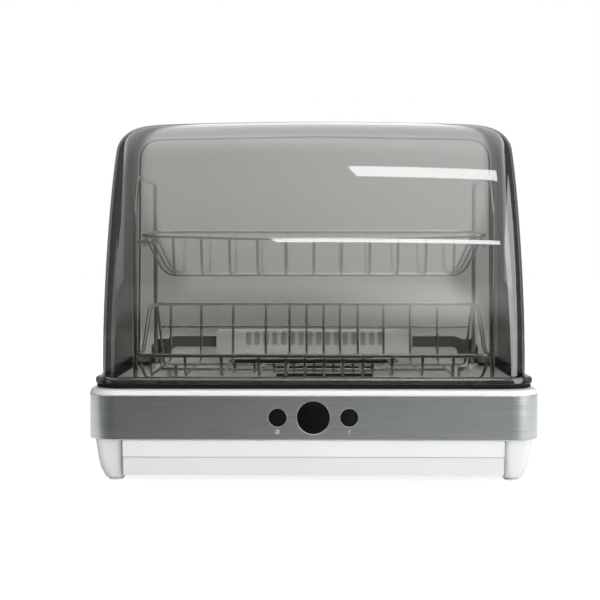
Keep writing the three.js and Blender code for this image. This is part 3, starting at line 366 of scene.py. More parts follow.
@dataclass(frozen=True)
class Polished(Finish):
    """Drawn or plated steel with small uneven patches."""

    patch: float = 0.12
    patch_scale: float = 120.0
    fine_scale: float = 800.0

    def surface(self, graph: Graph) -> Term:
        """The shader that gives this finish.

        Args:
            graph: The graph to make it in.

        Returns:
            The surface.
        """
        fine = graph.noise(self.fine_scale)
        return graph.principled(
            Base_Color=self.shades(graph, graph.noise(self.patch_scale, 3.0).step(0.35, 0.65), self.patch),
            Metallic=1.0,
            Roughness=self.uneven(fine, 0.14),
            Normal=graph.bump(fine, SCRATCH, 0.5),
        )


@dataclass(frozen=True)
class Smoked(Finish):
    """Clear tinted plastic: straight through it with a loss, glossy at its face, darker at a slant."""

    gloss: float = 0.06
    rim_gloss: float = 0.6
    slant: float = 0.45
    cloud_scale: float = 5.0

    def surface(self, graph: Graph) -> Term:
        """The shader that gives this finish.

        With s from 0 face on to 1 edge on, gloss + rim_gloss * s^5 of the light is reflected, and the haze
        s^3 * (1 + 0.6 * cloud) goes from the clear colour to the dark one.

        Args:
            graph: The graph to make it in.

        Returns:
            The surface.
        """
        slant = graph.node("ShaderNodeLayerWeight", {"Blend": 0.5}, output="Facing")
        shine = self.gloss + self.rim_gloss * slant**5.0
        clear = graph.node("ShaderNodeBsdfTransparent", {"Color": rgba(self.colour)})
        dark = graph.node("ShaderNodeBsdfTransparent", {"Color": scaled(self.colour, self.slant)})
        haze = (slant**3.0 * (1.0 + graph.noise(self.cloud_scale, 3.0) * 0.6)).clamp()
        body = graph.node("ShaderNodeMixShader", {0: haze, 1: clear, 2: dark})
        face = graph.node("ShaderNodeBsdfGlossy", {"Color": rgba(PURE), "Roughness": self.roughness})
        return graph.node("ShaderNodeMixShader", {0: shine, 1: body, 2: face})


@dataclass(frozen=True)
class Layered(Finish):
    """A board or plate with fine lines across it in a second tone."""

    second: Colour = (0.5, 0.4, 0.3)
    pitch: float = 0.004
    cloud_scale: float = 60.0
    relief: float = 0.0001

    def surface(self, graph: Graph) -> Term:
        """The shader that gives this finish.

        Args:
            graph: The graph to make it in.

        Returns:
            The surface.
        """
        lines = ((graph.axis("Z") * (2.0 * math.pi / self.pitch)).wave() * 0.5 + 0.5).step(0.5, 1.0)
        cloud = graph.noise(self.cloud_scale, 3.0)
        tone = (lines * 0.7 + cloud * 0.3).clamp()
        return graph.principled(
            Base_Color=graph.mix(tone, rgba(self.colour), rgba(self.second)),
            Roughness=self.uneven(cloud, 0.2),
            Normal=graph.bump(lines, self.relief, 0.5),
        )


class Finishes:
    """The object's finishes."""

    white = Moulded("white_satin", Slot.WHITE, (0.80, 0.805, 0.80), 0.34, mottle=0.015, shine=0.08)
    black = Moulded("black_matt", Slot.BLACK, (0.012, 0.012, 0.013), 0.5, grain=0.00004, shine=0.2)
    # Dark grey for the duct trim: painted shade for the shadowed recess round the rear duct.
    dark = Moulded("recess_shade_grey", Slot.DARK, (0.11, 0.113, 0.103), 0.42)
    pad = Moulded("rubber_pale", Slot.RUBBER, (0.70, 0.70, 0.69), 0.7, grain=0.00005)
    rubber = Moulded("rubber_matt", Slot.RUBBER, (0.006, 0.006, 0.0065), 0.7, grain=0.00005, shine=0.1)
    gloss = Moulded(
        "black_polished", Slot.GLOSS, (0.006, 0.007, 0.0075), 0.16, mottle=0.2, grain=0.000001, shine=0.12
    )
    window = Moulded(
        "window_black", Slot.GLOSS, (0.0025, 0.003, 0.003), 0.3, mottle=0.2, grain=0.000001, shine=0.1
    )
    band = Brushed("band_brushed", Slot.BAND, (0.50, 0.525, 0.52), 0.30)
    wire = Polished("wire_polished", Slot.WIRE, (0.36, 0.36, 0.345), 0.1)
    zinc = Polished("zinc_plated", Slot.ZINC, (0.62, 0.64, 0.66), 0.36)
    smoked = Smoked("smoked_clear", Slot.SMOKED, (0.65, 0.65, 0.635), 0.02)
    smoked_inner = Smoked(
        "smoked_clear_inner", Slot.SMOKED, (0.65, 0.65, 0.635), 0.03, gloss=0.0, rim_gloss=0.08
    )
    smoked_rim = Smoked("smoked_thick", Slot.SMOKED, (0.42, 0.42, 0.41), 0.05)
    board = Layered("board_green", Slot.BOARD, (0.02, 0.11, 0.05), 0.4, (0.05, 0.2, 0.09), 0.003)
    mica = Layered("mica_ribbon", Slot.MICA, (0.50, 0.46, 0.43), 0.5, (0.62, 0.58, 0.55), 0.0036)
    # Zinc darkened almost to black for the fan scroll: painted shade for the inside of the outlet housing.
    scroll = Polished("zinc_darkened_as_shade", Slot.ZINC, (0.03, 0.03, 0.032), 0.5)
    leaf = Moulded("grey_satin", Slot.DARK, (0.30, 0.31, 0.30), 0.42)
    marking = Moulded("pale_print", Slot.WHITE, (0.62, 0.63, 0.62), 0.6)


# Surfaces


@dataclass
class Skin:
    """Points (x, depth, z) in millimetres with the faces between them."""

    points: np.ndarray
    quads: np.ndarray = field(default_factory=lambda: np.zeros((0, 4), int))
    triangles: np.ndarray = field(default_factory=lambda: np.zeros((0, 3), int))

    def mirrored(self) -> "Skin":
        """The surface's mirror image across the middle of the object."""
        return Skin(self.points * np.array([-1.0, 1.0, 1.0]), self.quads[:, ::-1], self.triangles[:, ::-1])


def together(skins: Iterable[Skin]) -> Skin:
    """Several surfaces as one.

    Args:
        skins: The surfaces.

    Returns:
        One surface with all their points and faces.
    """
    points, quads, triangles, offset = [], [], [], 0
    for skin in skins:
        points.append(skin.points)
        quads.append(skin.quads + offset)
        triangles.append(skin.triangles + offset)
        offset += len(skin.points)
    return Skin(np.concatenate(points), np.concatenate(quads), np.concatenate(triangles))


def grid(points: np.ndarray, wrap_rows: bool = False, wrap_columns: bool = False) -> Skin:
    """A surface over a grid of points.

    Args:
        points: An array of rows by columns by 3.
        wrap_rows: Whether the last row joins the first.
        wrap_columns: Whether the last column joins the first.

    Returns:
        The surface, as quads between neighbours.
    """
    rows, columns = points.shape[:2]
    index = np.arange(rows * columns).reshape(rows, columns)
    if wrap_rows:
        index = np.vstack([index, index[:1]])
    if wrap_columns:
        index = np.hstack([index, index[:, :1]])
    quads = np.stack([index[:-1, :-1], index[:-1, 1:], index[1:, 1:], index[1:, :-1]], axis=-1)
    return Skin(points.reshape(-1, 3), quads.reshape(-1, 4))


def capped(points: np.ndarray, poles: Sequence[np.ndarray]) -> Skin:
    """A surface of closed rings whose first and last rings close on a point each.

    Args:
        points: An array of rings by points by 3.
        poles: The points that the first and the last ring close on.

    Returns:
        The closed surface.
    """
    skin = grid(points, wrap_columns=True)
    rows, columns = points.shape[:2]
    here = np.arange(columns)
    after = (here + 1) % columns
    total, end = rows * columns, (rows - 1) * columns
    first = np.stack([after, here, np.full(columns, total)], axis=-1)
    last = np.stack([here + end, after + end, np.full(columns, total + 1)], axis=-1)
    return Skin(np.vstack([skin.points, *poles]), skin.quads, np.vstack([first, last]))


def unit(vectors: np.ndarray) -> np.ndarray:
    """Vectors brought to length one."""
    return vectors / np.linalg.norm(vectors, axis=-1, keepdims=True)


def bent(corners: Sequence[Place], bend: float, steps: int = 8, closed: bool = False) -> np.ndarray:
    """A path through corners, each rounded by the curve (1-t)^2 a + 2t(1-t) corner + t^2 b.

    Args:
        corners: The corner points.
        bend: How far from a corner its curve starts.
        steps: Points per curve.
        closed: Whether the path returns to its start.

    Returns:
        The path's points.
    """
    marks = np.asarray(corners, float)
    count = len(marks)
    parts = []
    for i, here in enumerate(marks):
        if not closed and i in (0, count - 1):
            parts.append(here[None])
            continue
        back, ahead = marks[i - 1] - here, marks[(i + 1) % count] - here
        reach = min(bend, np.linalg.norm(back) / 2, np.linalg.norm(ahead) / 2)
        start, end = here + unit(back) * reach, here + unit(ahead) * reach
        t = np.linspace(0.0, 1.0, steps + 1)[:, None]
        parts.append((1 - t) ** 2 * start + 2 * t * (1 - t) * here + t**2 * end)
    path = np.concatenate(parts)
    apart = np.linalg.norm(path - np.roll(path, 1, axis=0), axis=1) > 0.01
    if not closed:
        apart[0] = True
    return path[apart]


def tube(path: np.ndarray, diameter: float, flat: Axis, closed: bool = False, sides: int = 14) -> Skin:
    """A round wire along a path: centre + r (cos a * side + sin a * up) at every point, with domed ends.

    Args:
        path: The centre line.
        diameter: The wire's diameter.
        flat: The axis square to the plane that the path mostly lies in.
        closed: Whether the wire is a loop.
        sides: Points round the wire.

    Returns:
        The wire's surface.
    """
    radius = diameter / 2
    leaving = unit(np.diff(np.vstack([path, path[:1]]), axis=0))
    if closed:
        along = unit(leaving + np.roll(leaving, 1, axis=0))
    else:
        along = unit(np.vstack([leaving[:1], leaving[1:-1] + leaving[:-2], leaving[-2:-1]]))
    side = unit(np.cross(along, np.array(flat.value)))
    up = np.cross(side, along)
    centres, radii = path.copy(), np.full(len(path), radius)
    if not closed:
        centres[0] += along[0] * radius
        centres[-1] -= along[-1] * radius
        turn = np.radians([75.0, 50.0, 25.0])[:, None]
        before = centres[0] - along[0] * radius * np.sin(turn)
        beyond = centres[-1] + along[-1] * radius * np.sin(turn[::-1])
        centres = np.vstack([before, centres, beyond])
        dome = radius * np.cos(turn[:, 0])
        radii = np.concatenate([dome, radii, dome[::-1]])
        side, up = (np.vstack([np.repeat(v[:1], 3, 0), v, np.repeat(v[-1:], 3, 0)]) for v in (side, up))
    angle = np.linspace(0.0, 2 * math.pi, sides, endpoint=False)
    rings = centres[:, None] + radii[:, None, None] * (
        np.cos(angle)[None, :, None] * side[:, None] + np.sin(angle)[None, :, None] * up[:, None]
    )
    return grid(rings, wrap_rows=True, wrap_columns=True) if closed else capped(rings, [path[0], path[-1]])


def spun(profile: Profile, x: float, z: float, sides: int) -> np.ndarray:
    """Rings (x + radius cos a, depth, z + radius sin a) of a profile turned round an axis along depth.

    Args:
        profile: Points of (radius, depth).
        x: The axis's x.
        z: The axis's height.
        sides: Points round the axis.

    Returns:
        An array of rings by points by 3.
    """
    outline = np.asarray(profile, float)
    angle = np.linspace(0.0, 2 * math.pi, sides, endpoint=False)
    across, level = x + outline[:, :1] * np.cos(angle), z + outline[:, :1] * np.sin(angle)
    return np.stack(np.broadcast_arrays(across, outline[:, 1:], level), axis=-1)


def turned(profile: Profile, x: float, z: float, sides: int = 72) -> Skin:
    """A profile with radii above zero, turned round an axis; both ends close on the axis."""
    poles = [np.array([x, profile[i][1], z]) for i in (0, -1)]
    return capped(spun(profile, x, z, sides), poles)


def hoop(profile: Profile, x: float, z: float, sides: int = 72) -> Skin:
    """A closed profile turned round an axis along depth."""
    return grid(spun(profile, x, z, sides), wrap_rows=True, wrap_columns=True)


@dataclass(frozen=True)
class Outline:
    """A level outline with round corners."""

    half: float
    front: float
    rear: float
    front_radius: float
    rear_radius: float

    def ring(self, steps: int = 14, spans: int = 24) -> np.ndarray:
        """The outline's points and outward directions.

        Args:
            steps: Parts per corner.
            spans: Parts per straight side.

        Returns:
            An array of points by (x, depth, outward x, outward depth).
        """
        near, far = self.front_radius, self.rear_radius
        corners = [
            (self.half - near, self.front + near, near, -90.0),
            (self.half - far, self.rear - far, far, 0.0),
            (far - self.half, self.rear - far, far, 90.0),
            (near - self.half, self.front + near, near, 180.0),
        ]
        turn = np.radians(np.linspace(0.0, 90.0, steps + 1))
        arcs = []
        for x, depth, radius, start in corners:
            outward = turn + math.radians(start)
            cos, sin = np.cos(outward), np.sin(outward)
            arcs.append(np.stack([x + radius * cos, depth + radius * sin, cos, sin], axis=-1))
        parts = []
        for i, arc in enumerate(arcs):
            share = np.linspace(0.0, 1.0, spans + 1)[1:-1, None]
            parts += [arc, arc[-1] + (arcs[(i + 1) % 4][0] - arc[-1]) * share]
        return np.concatenate(parts)


def wrapped(outline: Outline, profile: Profile) -> Skin:
    """A closed profile carried round a whole outline: point = outline - outward * inset, at z.

    Args:
        outline: The outline.
        profile: Points of (inset, z).

    Returns:
        The surface.
    """
    around = outline.ring()
    shape = np.asarray(profile, float)
    points = np.empty((len(shape), len(around), 3))
    points[..., :2] = around[None, :, :2] - around[None, :, 2:] * shape[:, None, :1]
    points[..., 2] = shape[:, 1:]
    return grid(points, wrap_rows=True, wrap_columns=True)


# Objects


def raise_object(name: str, skin: Skin) -> bpy.types.Object:
    """An object at the origin whose mesh is a surface, with its faces turned outwards.

    Args:
        name: The object's name.
        skin: The surface, in millimetres.

    Returns:
        The object, linked to the scene.
    """
    metres = (skin.points + np.array([0.0, FRONT_Y, 0.0])) * MM
    mesh = bpy.data.meshes.new(name)
    mesh.from_pydata(metres.tolist(), [], [*skin.quads.tolist(), *skin.triangles.tolist()])
    tidy(mesh)
    made = bpy.data.objects.new(name, mesh)
    bpy.context.scene.collection.objects.link(made)
    return made


def tidy(mesh: bpy.types.Mesh, flatten: float = 0.0) -> None:
    """Merges a mesh's shared corners and turns its faces outwards.

    Args:
        mesh: The mesh, changed in place.
        flatten: Faces that meet within this angle, in degrees, become one.
    """
    work = bmesh.new()
    work.from_mesh(mesh)
    bmesh.ops.remove_doubles(work, verts=work.verts, dist=2e-6)
    if flatten:
        bmesh.ops.dissolve_limit(work, angle_limit=math.radians(flatten), verts=work.verts, edges=work.edges)
    bmesh.ops.recalc_face_normals(work, faces=work.faces)
    work.to_mesh(mesh)
    work.free()


def smooth(mesh: bpy.types.Mesh, angle: float) -> None:
    """Smooth shading, with an edge kept wherever faces meet at more than the angle in degrees."""
    mesh.shade_smooth()
    mesh.set_sharp_from_angle(angle=math.radians(angle))


def settle(made: bpy.types.Object, finish: Finish, body: str, nodes: Sequence[str]) -> None:
    """Gives an object its finish and its body, and hides the CAD nodes that it stands for.

    Args:
        made: The object.
        finish: Its finish.
        body: The body that it rides on.
        nodes: The CAD nodes that it replaces.
    """
    made.data.materials.clear()
    made.data.materials.append(finish.material())
    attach(made, body)
    if nodes:
        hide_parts(*nodes)
    LOG.info("%s: %d faces", made.name, len(made.data.polygons))


def shaped(name: str, skin: Skin, finish: Finish, body: str, nodes: Sequence[str] = ()) -> None:
    """Makes a finished piece from a surface.

    Args:
        name: The piece's name.
        skin: The surface.
        finish: Its finish.
        body: The body that it rides on.
        nodes: The CAD nodes that it replaces.
    """
    made = raise_object(name, skin)
    smooth(made.data, EDGE_ANGLE)
    settle(made, finish, body, nodes)


def weigh(made: bpy.types.Object) -> None:
    """Keeps large flat faces flat beside small round ones."""
    made.modifiers.new("flat", "WEIGHTED_NORMAL").keep_sharp = True


def softened(
    frame: dict,
    node: str,
    finish: Finish,
    body: str,
    round_edge: float = 0.4,
    angle: float = EDGE_ANGLE,
    segments: int = 2,
) -> None:
    """Makes a piece from a merged copy of its CAD node, with its hard edges rounded.

    Args:
        frame: The loaded frame.
        node: The CAD node.
        finish: The piece's finish.
        body: The body that it rides on.
        round_edge: How far from an edge its rounding starts, in millimetres.
        angle: Edges sharper than this, in degrees, are rounded.
        segments: Faces across a rounding.
    """
    mesh = frame["nodes"][node].data.copy()
    tidy(mesh, 1.0)
    mesh.name = f"{node}_finished"
    made = bpy.data.objects.new(f"{node}_finished", mesh)
    bpy.context.scene.collection.objects.link(made)
    smooth(mesh, angle + 20.0)
    bevel = made.modifiers.new("round", "BEVEL")
    bevel.width, bevel.segments = round_edge * MM, segments
    bevel.limit_method, bevel.angle_limit = "ANGLE", math.radians(angle)
    bevel.use_clamp_overlap = True
    weigh(made)
    settle(made, finish, body, [node])


def pierced(made: bpy.types.Object, tools: Sequence[Skin]) -> None:
    """Cuts surfaces out of an object's mesh.

    Args:
        made: The object, whose mesh is replaced.
        tools: Closed surfaces.
    """
    cutter = raise_object("cutter", together(tools))
    cut = made.modifiers.new("cut", "BOOLEAN")
    cut.operation, cut.solver, cut.object = "DIFFERENCE", "EXACT", cutter
    bpy.context.view_layer.update()
    result = bpy.data.meshes.new_from_object(made.evaluated_get(bpy.context.evaluated_depsgraph_get()))
    made.modifiers.clear()
    made.data = result
    bpy.data.objects.remove(cutter)


# The base


@dataclass(frozen=True)
class Panel:
    """Where the controls sit in the band, and how large they are."""

    pitch: float = 37.0
    height: float = 68.0
    button_radius: float = 9.2
    display_radius: float = 16.9


PANEL = Panel()


@dataclass
class Base:
    """Steel band, housing, deck, feet and cord gland."""

    half: float = 235.0
    depth: float = 330.0
    corner: float = 31.0
    band_rear: float = 300.0
    band_top: float = 90.5
    band_bottom: float = 44.4
    sheet: float = 0.8
    lip: float = 4.0
    fold: float = 1.1
    chamfer: float = 0.25
    hole_clearance: float = 0.6
    ring_width: float = 0.38

    def holes(self) -> list[tuple[float, float]]:
        """The x and radius of each hole in the band's front."""
        small, large = PANEL.button_radius + self.hole_clearance, PANEL.display_radius + self.hole_clearance
        return [(-PANEL.pitch, small), (0.0, large), (PANEL.pitch, small)]

    def section(self) -> np.ndarray:
        """The band's section.

        Returns:
            Points of (inset, z): a lip under the housing, a fold of fold * (1 - cos a) by fold * (1 - sin a),
            and the sheet.
        """
        low, high, sheet, chamfer = self.band_bottom, self.band_top, self.sheet, self.chamfer
        turn = np.radians(np.linspace(0.0, 90.0, 7))
        inset, level = self.fold * (1 - np.cos(turn)), low + self.fold * (1 - np.sin(turn))
        outer = np.stack([inset, level], axis=-1)[::-1]
        return np.vstack([
            [[self.lip, low + sheet], [self.lip, low]],
            outer,
            [[0.0, high - chamfer], [chamfer, high], [sheet - chamfer, high], [sheet, high - chamfer]],
            [[sheet, low + sheet + 0.3], [sheet + 0.3, low + sheet]],
        ])

    def band(self) -> Skin:
        """The band: its section carried from the left rear round the front to the right rear.

        Returns:
            The band's closed surface.
        """
        around = Outline(self.half, 0.0, self.depth, self.corner, self.corner).ring(24, 40)
        keep = around[around[:, 1] < self.band_rear]
        on_side = np.abs(keep[:, 2]) > 0.99
        way = np.where(on_side, np.sign(keep[:, 2]) * (1e4 + keep[:, 1]), keep[:, 0])
        keep = keep[np.argsort(way)]
        first, last = keep[0].copy(), keep[-1].copy()
        first[1] = last[1] = self.band_rear
        keep = np.vstack([first, keep, last])
        profile = self.section()
        points = np.empty((len(keep), len(profile), 3))
        points[..., :2] = keep[:, None, :2] - keep[:, None, 2:] * profile[None, :, :1]
        points[..., 2] = profile[None, :, 1]
        return capped(points, [points[0].mean(axis=0), points[-1].mean(axis=0)])

    def rings(self) -> Skin:
        """The bright turned edge round each hole: a level face with a chamfer on both sides.

        Returns:
            The three rings.
        """
        rear, low, face, slant = 0.6, 0.1, -0.06, 0.15
        shapes = []
        for x, inner in self.holes():
            outer = inner + self.ring_width
            near = [(inner, rear), (inner, low), (inner + slant, face)]
            shapes.append(hoop([*near, (outer - slant, face), (outer, low), (outer, rear)], x, PANEL.height))
        return together(shapes)

    def build(self, frame: dict) -> None:
        """Makes the base's pieces.

        Args:
            frame: The loaded frame.
        """
        band = raise_object("steel_band_finished", self.band())
        pole, reach = 0.5, 4.0
        plugs = [
            turned([(pole, -reach), (radius, -reach), (radius, reach), (pole, reach)], x, PANEL.height)
            for x, radius in self.holes()
        ]
        pierced(band, plugs)
        tidy(band.data)
        smooth(band.data, 30.0)
        weigh(band)
        settle(band, Finishes.band, "base", ["steel_band"])
        shaped("band_hole_rings", self.rings(), Finishes.zinc, "base")
        for node in ("base_housing", "deck", "basin"):
            softened(frame, node, Finishes.white, "base", 0.5)
        for end in ("front", "rear"):
            for side in SIDES:
                softened(frame, f"foot_{end}_{side}", Finishes.white, "base", 2.2, 50.0, 4)
                softened(frame, f"foot_pad_{end}_{side}", Finishes.pad, "base")
        softened(frame, "cord_gland", Finishes.black, "base", 0.6)
        for side in SIDES:
            softened(frame, f"tray_runner_{side}", Finishes.white, "base", 0.3)
        softened(frame, "drip_tray", Finishes.white, "tray", 0.8, 30.0, 3)


# The controls


@dataclass
class Controls:
    """Two push buttons, the display window and what stands behind them."""

    proud: float = 1.2
    dish: float = 0.7
    shoulder: float = 0.5
    flange_front: float = 4.4
    flange_rear: float = 6.0
    flange: float = 1.6
    stem_radius: float = 2.0
    stem_end: float = 14.5
    ledge_front: float = 4.2
    ledge: float = 1.9
    display_rear: float = 6.4
    mark_height: float = 53.2
    mark_radius: float = 2.0
    mark_line: float = 0.7
    mark_face: float = -0.04
    mark_back: float = 0.05

    def button(self, x: float) -> Skin:
        """A button: a face at depth -proud + dish * share^2, a quarter round shoulder, a flange and a stem.

        Args:
            x: The button's place.

        Returns:
            The button's surface.
        """
        share = np.linspace(0.06, 1.0, 12)
        radius = (PANEL.button_radius - self.shoulder) * share
        face = np.stack([radius, -self.proud + self.dish * share**2], axis=-1)
        turn = np.radians(np.linspace(15.0, 90.0, 6))
        edge = face[-1] + self.shoulder * np.stack([np.sin(turn), 1 - np.cos(turn)], axis=-1)
        wide = PANEL.button_radius + self.flange
        back = [
            (PANEL.button_radius, self.flange_front),
            (wide, self.flange_front),
            (wide, self.flange_rear),
            (self.stem_radius, self.flange_rear),
            (self.stem_radius, self.stem_end),
        ]
        return turned([*map(tuple, face), *map(tuple, edge), *back], x, PANEL.height)

    def window(self) -> Skin:
        """The display's flat window with a small bevel and a ledge behind the band.

        Returns:
            The window's surface.
        """
        radius, rear = PANEL.display_radius, self.display_rear
        wide = radius + self.ledge
        front = [(0.5, 0.05), (radius - 0.5, 0.05), (radius - 0.15, 0.2), (radius, 0.55)]
        back = [(radius, self.ledge_front), (wide, self.ledge_front), (wide, rear), (0.5, rear)]
        return turned([*front, *back], 0.0, PANEL.height, 96)

    def mark(self, x: float, hollow: bool) -> Skin:
        """A small printed ring or bar under a button.

        Args:
            x: The mark's place.
            hollow: Whether it is the ring.

        Returns:
            The mark's surface.
        """
        radius, half, middle = self.mark_radius, self.mark_line / 2, self.mark_height
        face, back = self.mark_face, self.mark_back
        if hollow:
            inner = radius - self.mark_line
            return hoop([(inner, back), (inner, face), (radius, face), (radius, back)], x, middle, 40)
        corners = [(-half, -radius), (half, -radius), (half, radius), (-half, radius)]
        rings = np.array([[(x + over, depth, middle + up) for over, up in corners] for depth in (face, back)])
        return capped(rings, list(rings.mean(axis=1)))

    def build(self, frame: dict) -> None:
        """Makes the controls' pieces.

        Args:
            frame: The loaded frame.
        """
        states = (("off", -PANEL.pitch, True), ("on", PANEL.pitch, False))
        for state, x, hollow in states:
            shaped(f"mark_{state}", self.mark(x, hollow), Finishes.marking, "base")
        for state, x, _ in states:
            name = f"button_{state}"
            shaped(f"{name}_finished", self.button(x), Finishes.gloss, f"{state}_button", [name])
        shaped("display_window_finished", self.window(), Finishes.window, "base", ["display_window"])
        softened(frame, "display_block", Finishes.black, "base")
        softened(frame, "control_board", Finishes.board, "base", 0.15)
        for state, _, _ in states:
            softened(frame, f"switch_{state}", Finishes.black, "base", 0.3)


# The lid


@dataclass
class Dome:
    """The smoked lid, its frame and its seal."""

    width: float = 445.4
    front: float = 11.0
    rear: float = 308.0
    low: float = 101.5
    high: float = 385.6
    wall: float = 3.0
    top_front: float = 160.0
    front_rise: float = 150.0
    top_reach: float = 52.0
    front_radius: float = 25.0
    rear_radius: float = 9.0
    top_radius: float = 30.0
    taper: float = 3.0
    crown: float = 5.0
    levels: int = 72
    roof_rings: int = 16
    rim_proud: float = 7.0
    seal_proud: float = 5.5
    rear_proud: float = 3.5
    fold_thickness: float = 2.4
    fold_bend: float = 27.0
    seal_low: float = 97.5
    seal_high: float = 101.2

    def shell(self, wall: float) -> np.ndarray:
        """Rings of one side of the dome.

        The front line is the curve through (front, low), (front, low + rise), (top_front - reach, high) and
        (top_front, high). At each of its heights the outline is a rounded rectangle whose half width and rear
        draw in by r - sqrt(r^2 - over^2) near the top, and z falls by crown * rise^2 * (2x / width)^2.

        Args:
            wall: How far inside the outer face the rings lie.

        Returns:
            An array of levels by points by 3, ending with rings that close on the roof's middle.
        """
        high = self.high - wall
        t = np.linspace(0.0, 1.0, self.levels + 1)
        a, b, c, d = (1 - t) ** 3, 3 * (1 - t) ** 2 * t, 3 * (1 - t) * t**2, t**3
        front = (a + b) * (self.front + wall) + c * (self.top_front - self.top_reach) + d * self.top_front
        level = a * self.low + b * (self.low + self.front_rise) + (c + d) * high

        def drawn_in(radius: float) -> np.ndarray:
            """How far the outline draws in at each level, for a shoulder of this radius."""
            over = np.clip(level - (high - radius), 0.0, radius)
            return radius - np.sqrt(np.clip(radius**2 - over**2, 0.0, None))

        rise = (level - self.low) / (self.high - self.low)
        half = self.width / 2 - wall - self.taper * rise - drawn_in(self.top_radius - wall)
        rear = self.rear - wall - drawn_in(self.rear_radius - wall)
        rings = []
        for i in range(len(t)):
            outline = Outline(half[i], front[i], rear[i], self.front_radius - wall, self.rear_radius - wall)
            around = outline.ring(14, 28)
            rings.append(np.column_stack([around[:, :2], np.full(len(around), level[i])]))
        points = np.stack(rings)
        last = points[-1]
        centre = last.mean(axis=0)
        roof = [centre + (last - centre) * share for share in np.linspace(1.0, 0.02, self.roof_rings)[1:]]
        points = np.concatenate([points, np.stack(roof)])
        share = np.concatenate([rise, np.full(len(roof), rise[-1])])[:, None]
        points[..., 2] -= self.crown * share**2 * (2 * points[..., 0] / self.width) ** 2
        return points

    def closed(self, rings: np.ndarray) -> Skin:
        """Rings closed at the roof's middle only.

        Args:
            rings: An array of rings by points by 3.

        Returns:
            The surface, open at the foot.
        """
        skin = grid(rings, wrap_columns=True)
        rows, columns = rings.shape[:2]
        here = np.arange(columns) + (rows - 1) * columns
        fan = np.stack([here, np.roll(here, -1), np.full(columns, rows * columns)], axis=-1)
        return Skin(np.vstack([skin.points, rings[-1].mean(axis=0)]), skin.quads, fan)

    def frame_outline(self, proud: float) -> Outline:
        """An outline that stands proud of the dome's foot, less at the rear.

        Args:
            proud: How far it stands proud at the front and the sides.

        Returns:
            The outline.
        """
        back = min(proud, self.rear_proud)
        return Outline(
            self.width / 2 + proud,
            self.front - proud,
            self.rear + back,
            self.front_radius + proud,
            self.rear_radius + back,
        )

    def rim(self) -> Skin:
        """The frame round the foot, with a rounded shoulder, from a profile of (inset, rise).

        Returns:
            The frame's surface.
        """
        edge = [(6.7, 0.0), (0.6, 0.0), (0.0, 0.6), (0.0, 4.4)]
        shoulder = [(0.4, 5.6), (1.6, 6.6), (3.4, 7.4), (6.7, 7.5)]
        profile = [(inset, self.low + rise) for inset, rise in (*edge, *shoulder)]
        return wrapped(self.frame_outline(self.rim_proud), profile)

    def seal(self) -> Skin:
        """The seal under the frame, with a soft outer edge.

        Returns:
            The seal's surface.
        """
        low, high = self.seal_low, self.seal_high
        under = [(7.0, low), (0.9, low), (0.2, low + 0.7), (0.0, (low + high) / 2)]
        over = [(0.2, high - 0.7), (0.9, high), (7.0, high)]
        return wrapped(self.frame_outline(self.seal_proud), [*under, *over])

    def fold(self) -> Skin:
        """A fine black line inside the fold where the rear wall meets the sides and the roof: painted shade
        for the dark line that the fold shows.

        Returns:
            The surface of the black line.
        """
        depth = 302.6
        right = [(217.2, self.low + 8.0), (214.4, 375.6)]
        left = [(-x, z) for x, z in right]
        path = [(x, depth, z) for x, z in (*left, (0.0, 379.4), *reversed(right))]
        return strand(path, self.fold_thickness, self.fold_bend, Axis.DEPTH)

    def build(self) -> None:
        """Makes the lid's pieces."""
        outer, inner = self.shell(0.0), self.shell(self.wall)
        foot = grid(np.stack([outer[0], inner[0]]), wrap_columns=True)
        lid = raise_object("lid_finished", together([self.closed(outer), self.closed(inner), foot]))
        smooth(lid.data, 50.0)
        settle(lid, Finishes.smoked, "lid_assembly", ["lid"])
        lid.data.materials.append(Finishes.smoked_inner.material())
        self.mark_inside(lid.data)
        # A black line inside the lid's fold, painted shade.
        shaped("lid_fold_painted_shade", self.fold(), Finishes.black, "lid_assembly")
        shaped("lid_rim_finished", self.rim(), Finishes.smoked_rim, "lid_assembly", ["lid_rim"])
        shaped("lid_seal_finished", self.seal(), Finishes.rubber, "base", ["lid_seal"])

    def mark_inside(self, mesh: bpy.types.Mesh) -> None:
        """Gives the faces that look towards the dome's middle the inner finish.

        Args:
            mesh: The lid's mesh, changed in place.
        """
        count = len(mesh.polygons)
        centres, normals = np.empty(count * 3), np.empty(count * 3)
        mesh.polygons.foreach_get("center", centres)
        mesh.polygons.foreach_get("normal", normals)
        outward = centres.reshape(-1, 3) - np.array([0.0, (FRONT_Y + 170.0) * MM, 0.2])
        inside = np.einsum("ij,ij->i", outward, normals.reshape(-1, 3)) < 0
        mesh.polygons.foreach_set("material_index", inside.astype(np.int32))
        mesh.update()


# Hinges, duct, outlet and fan


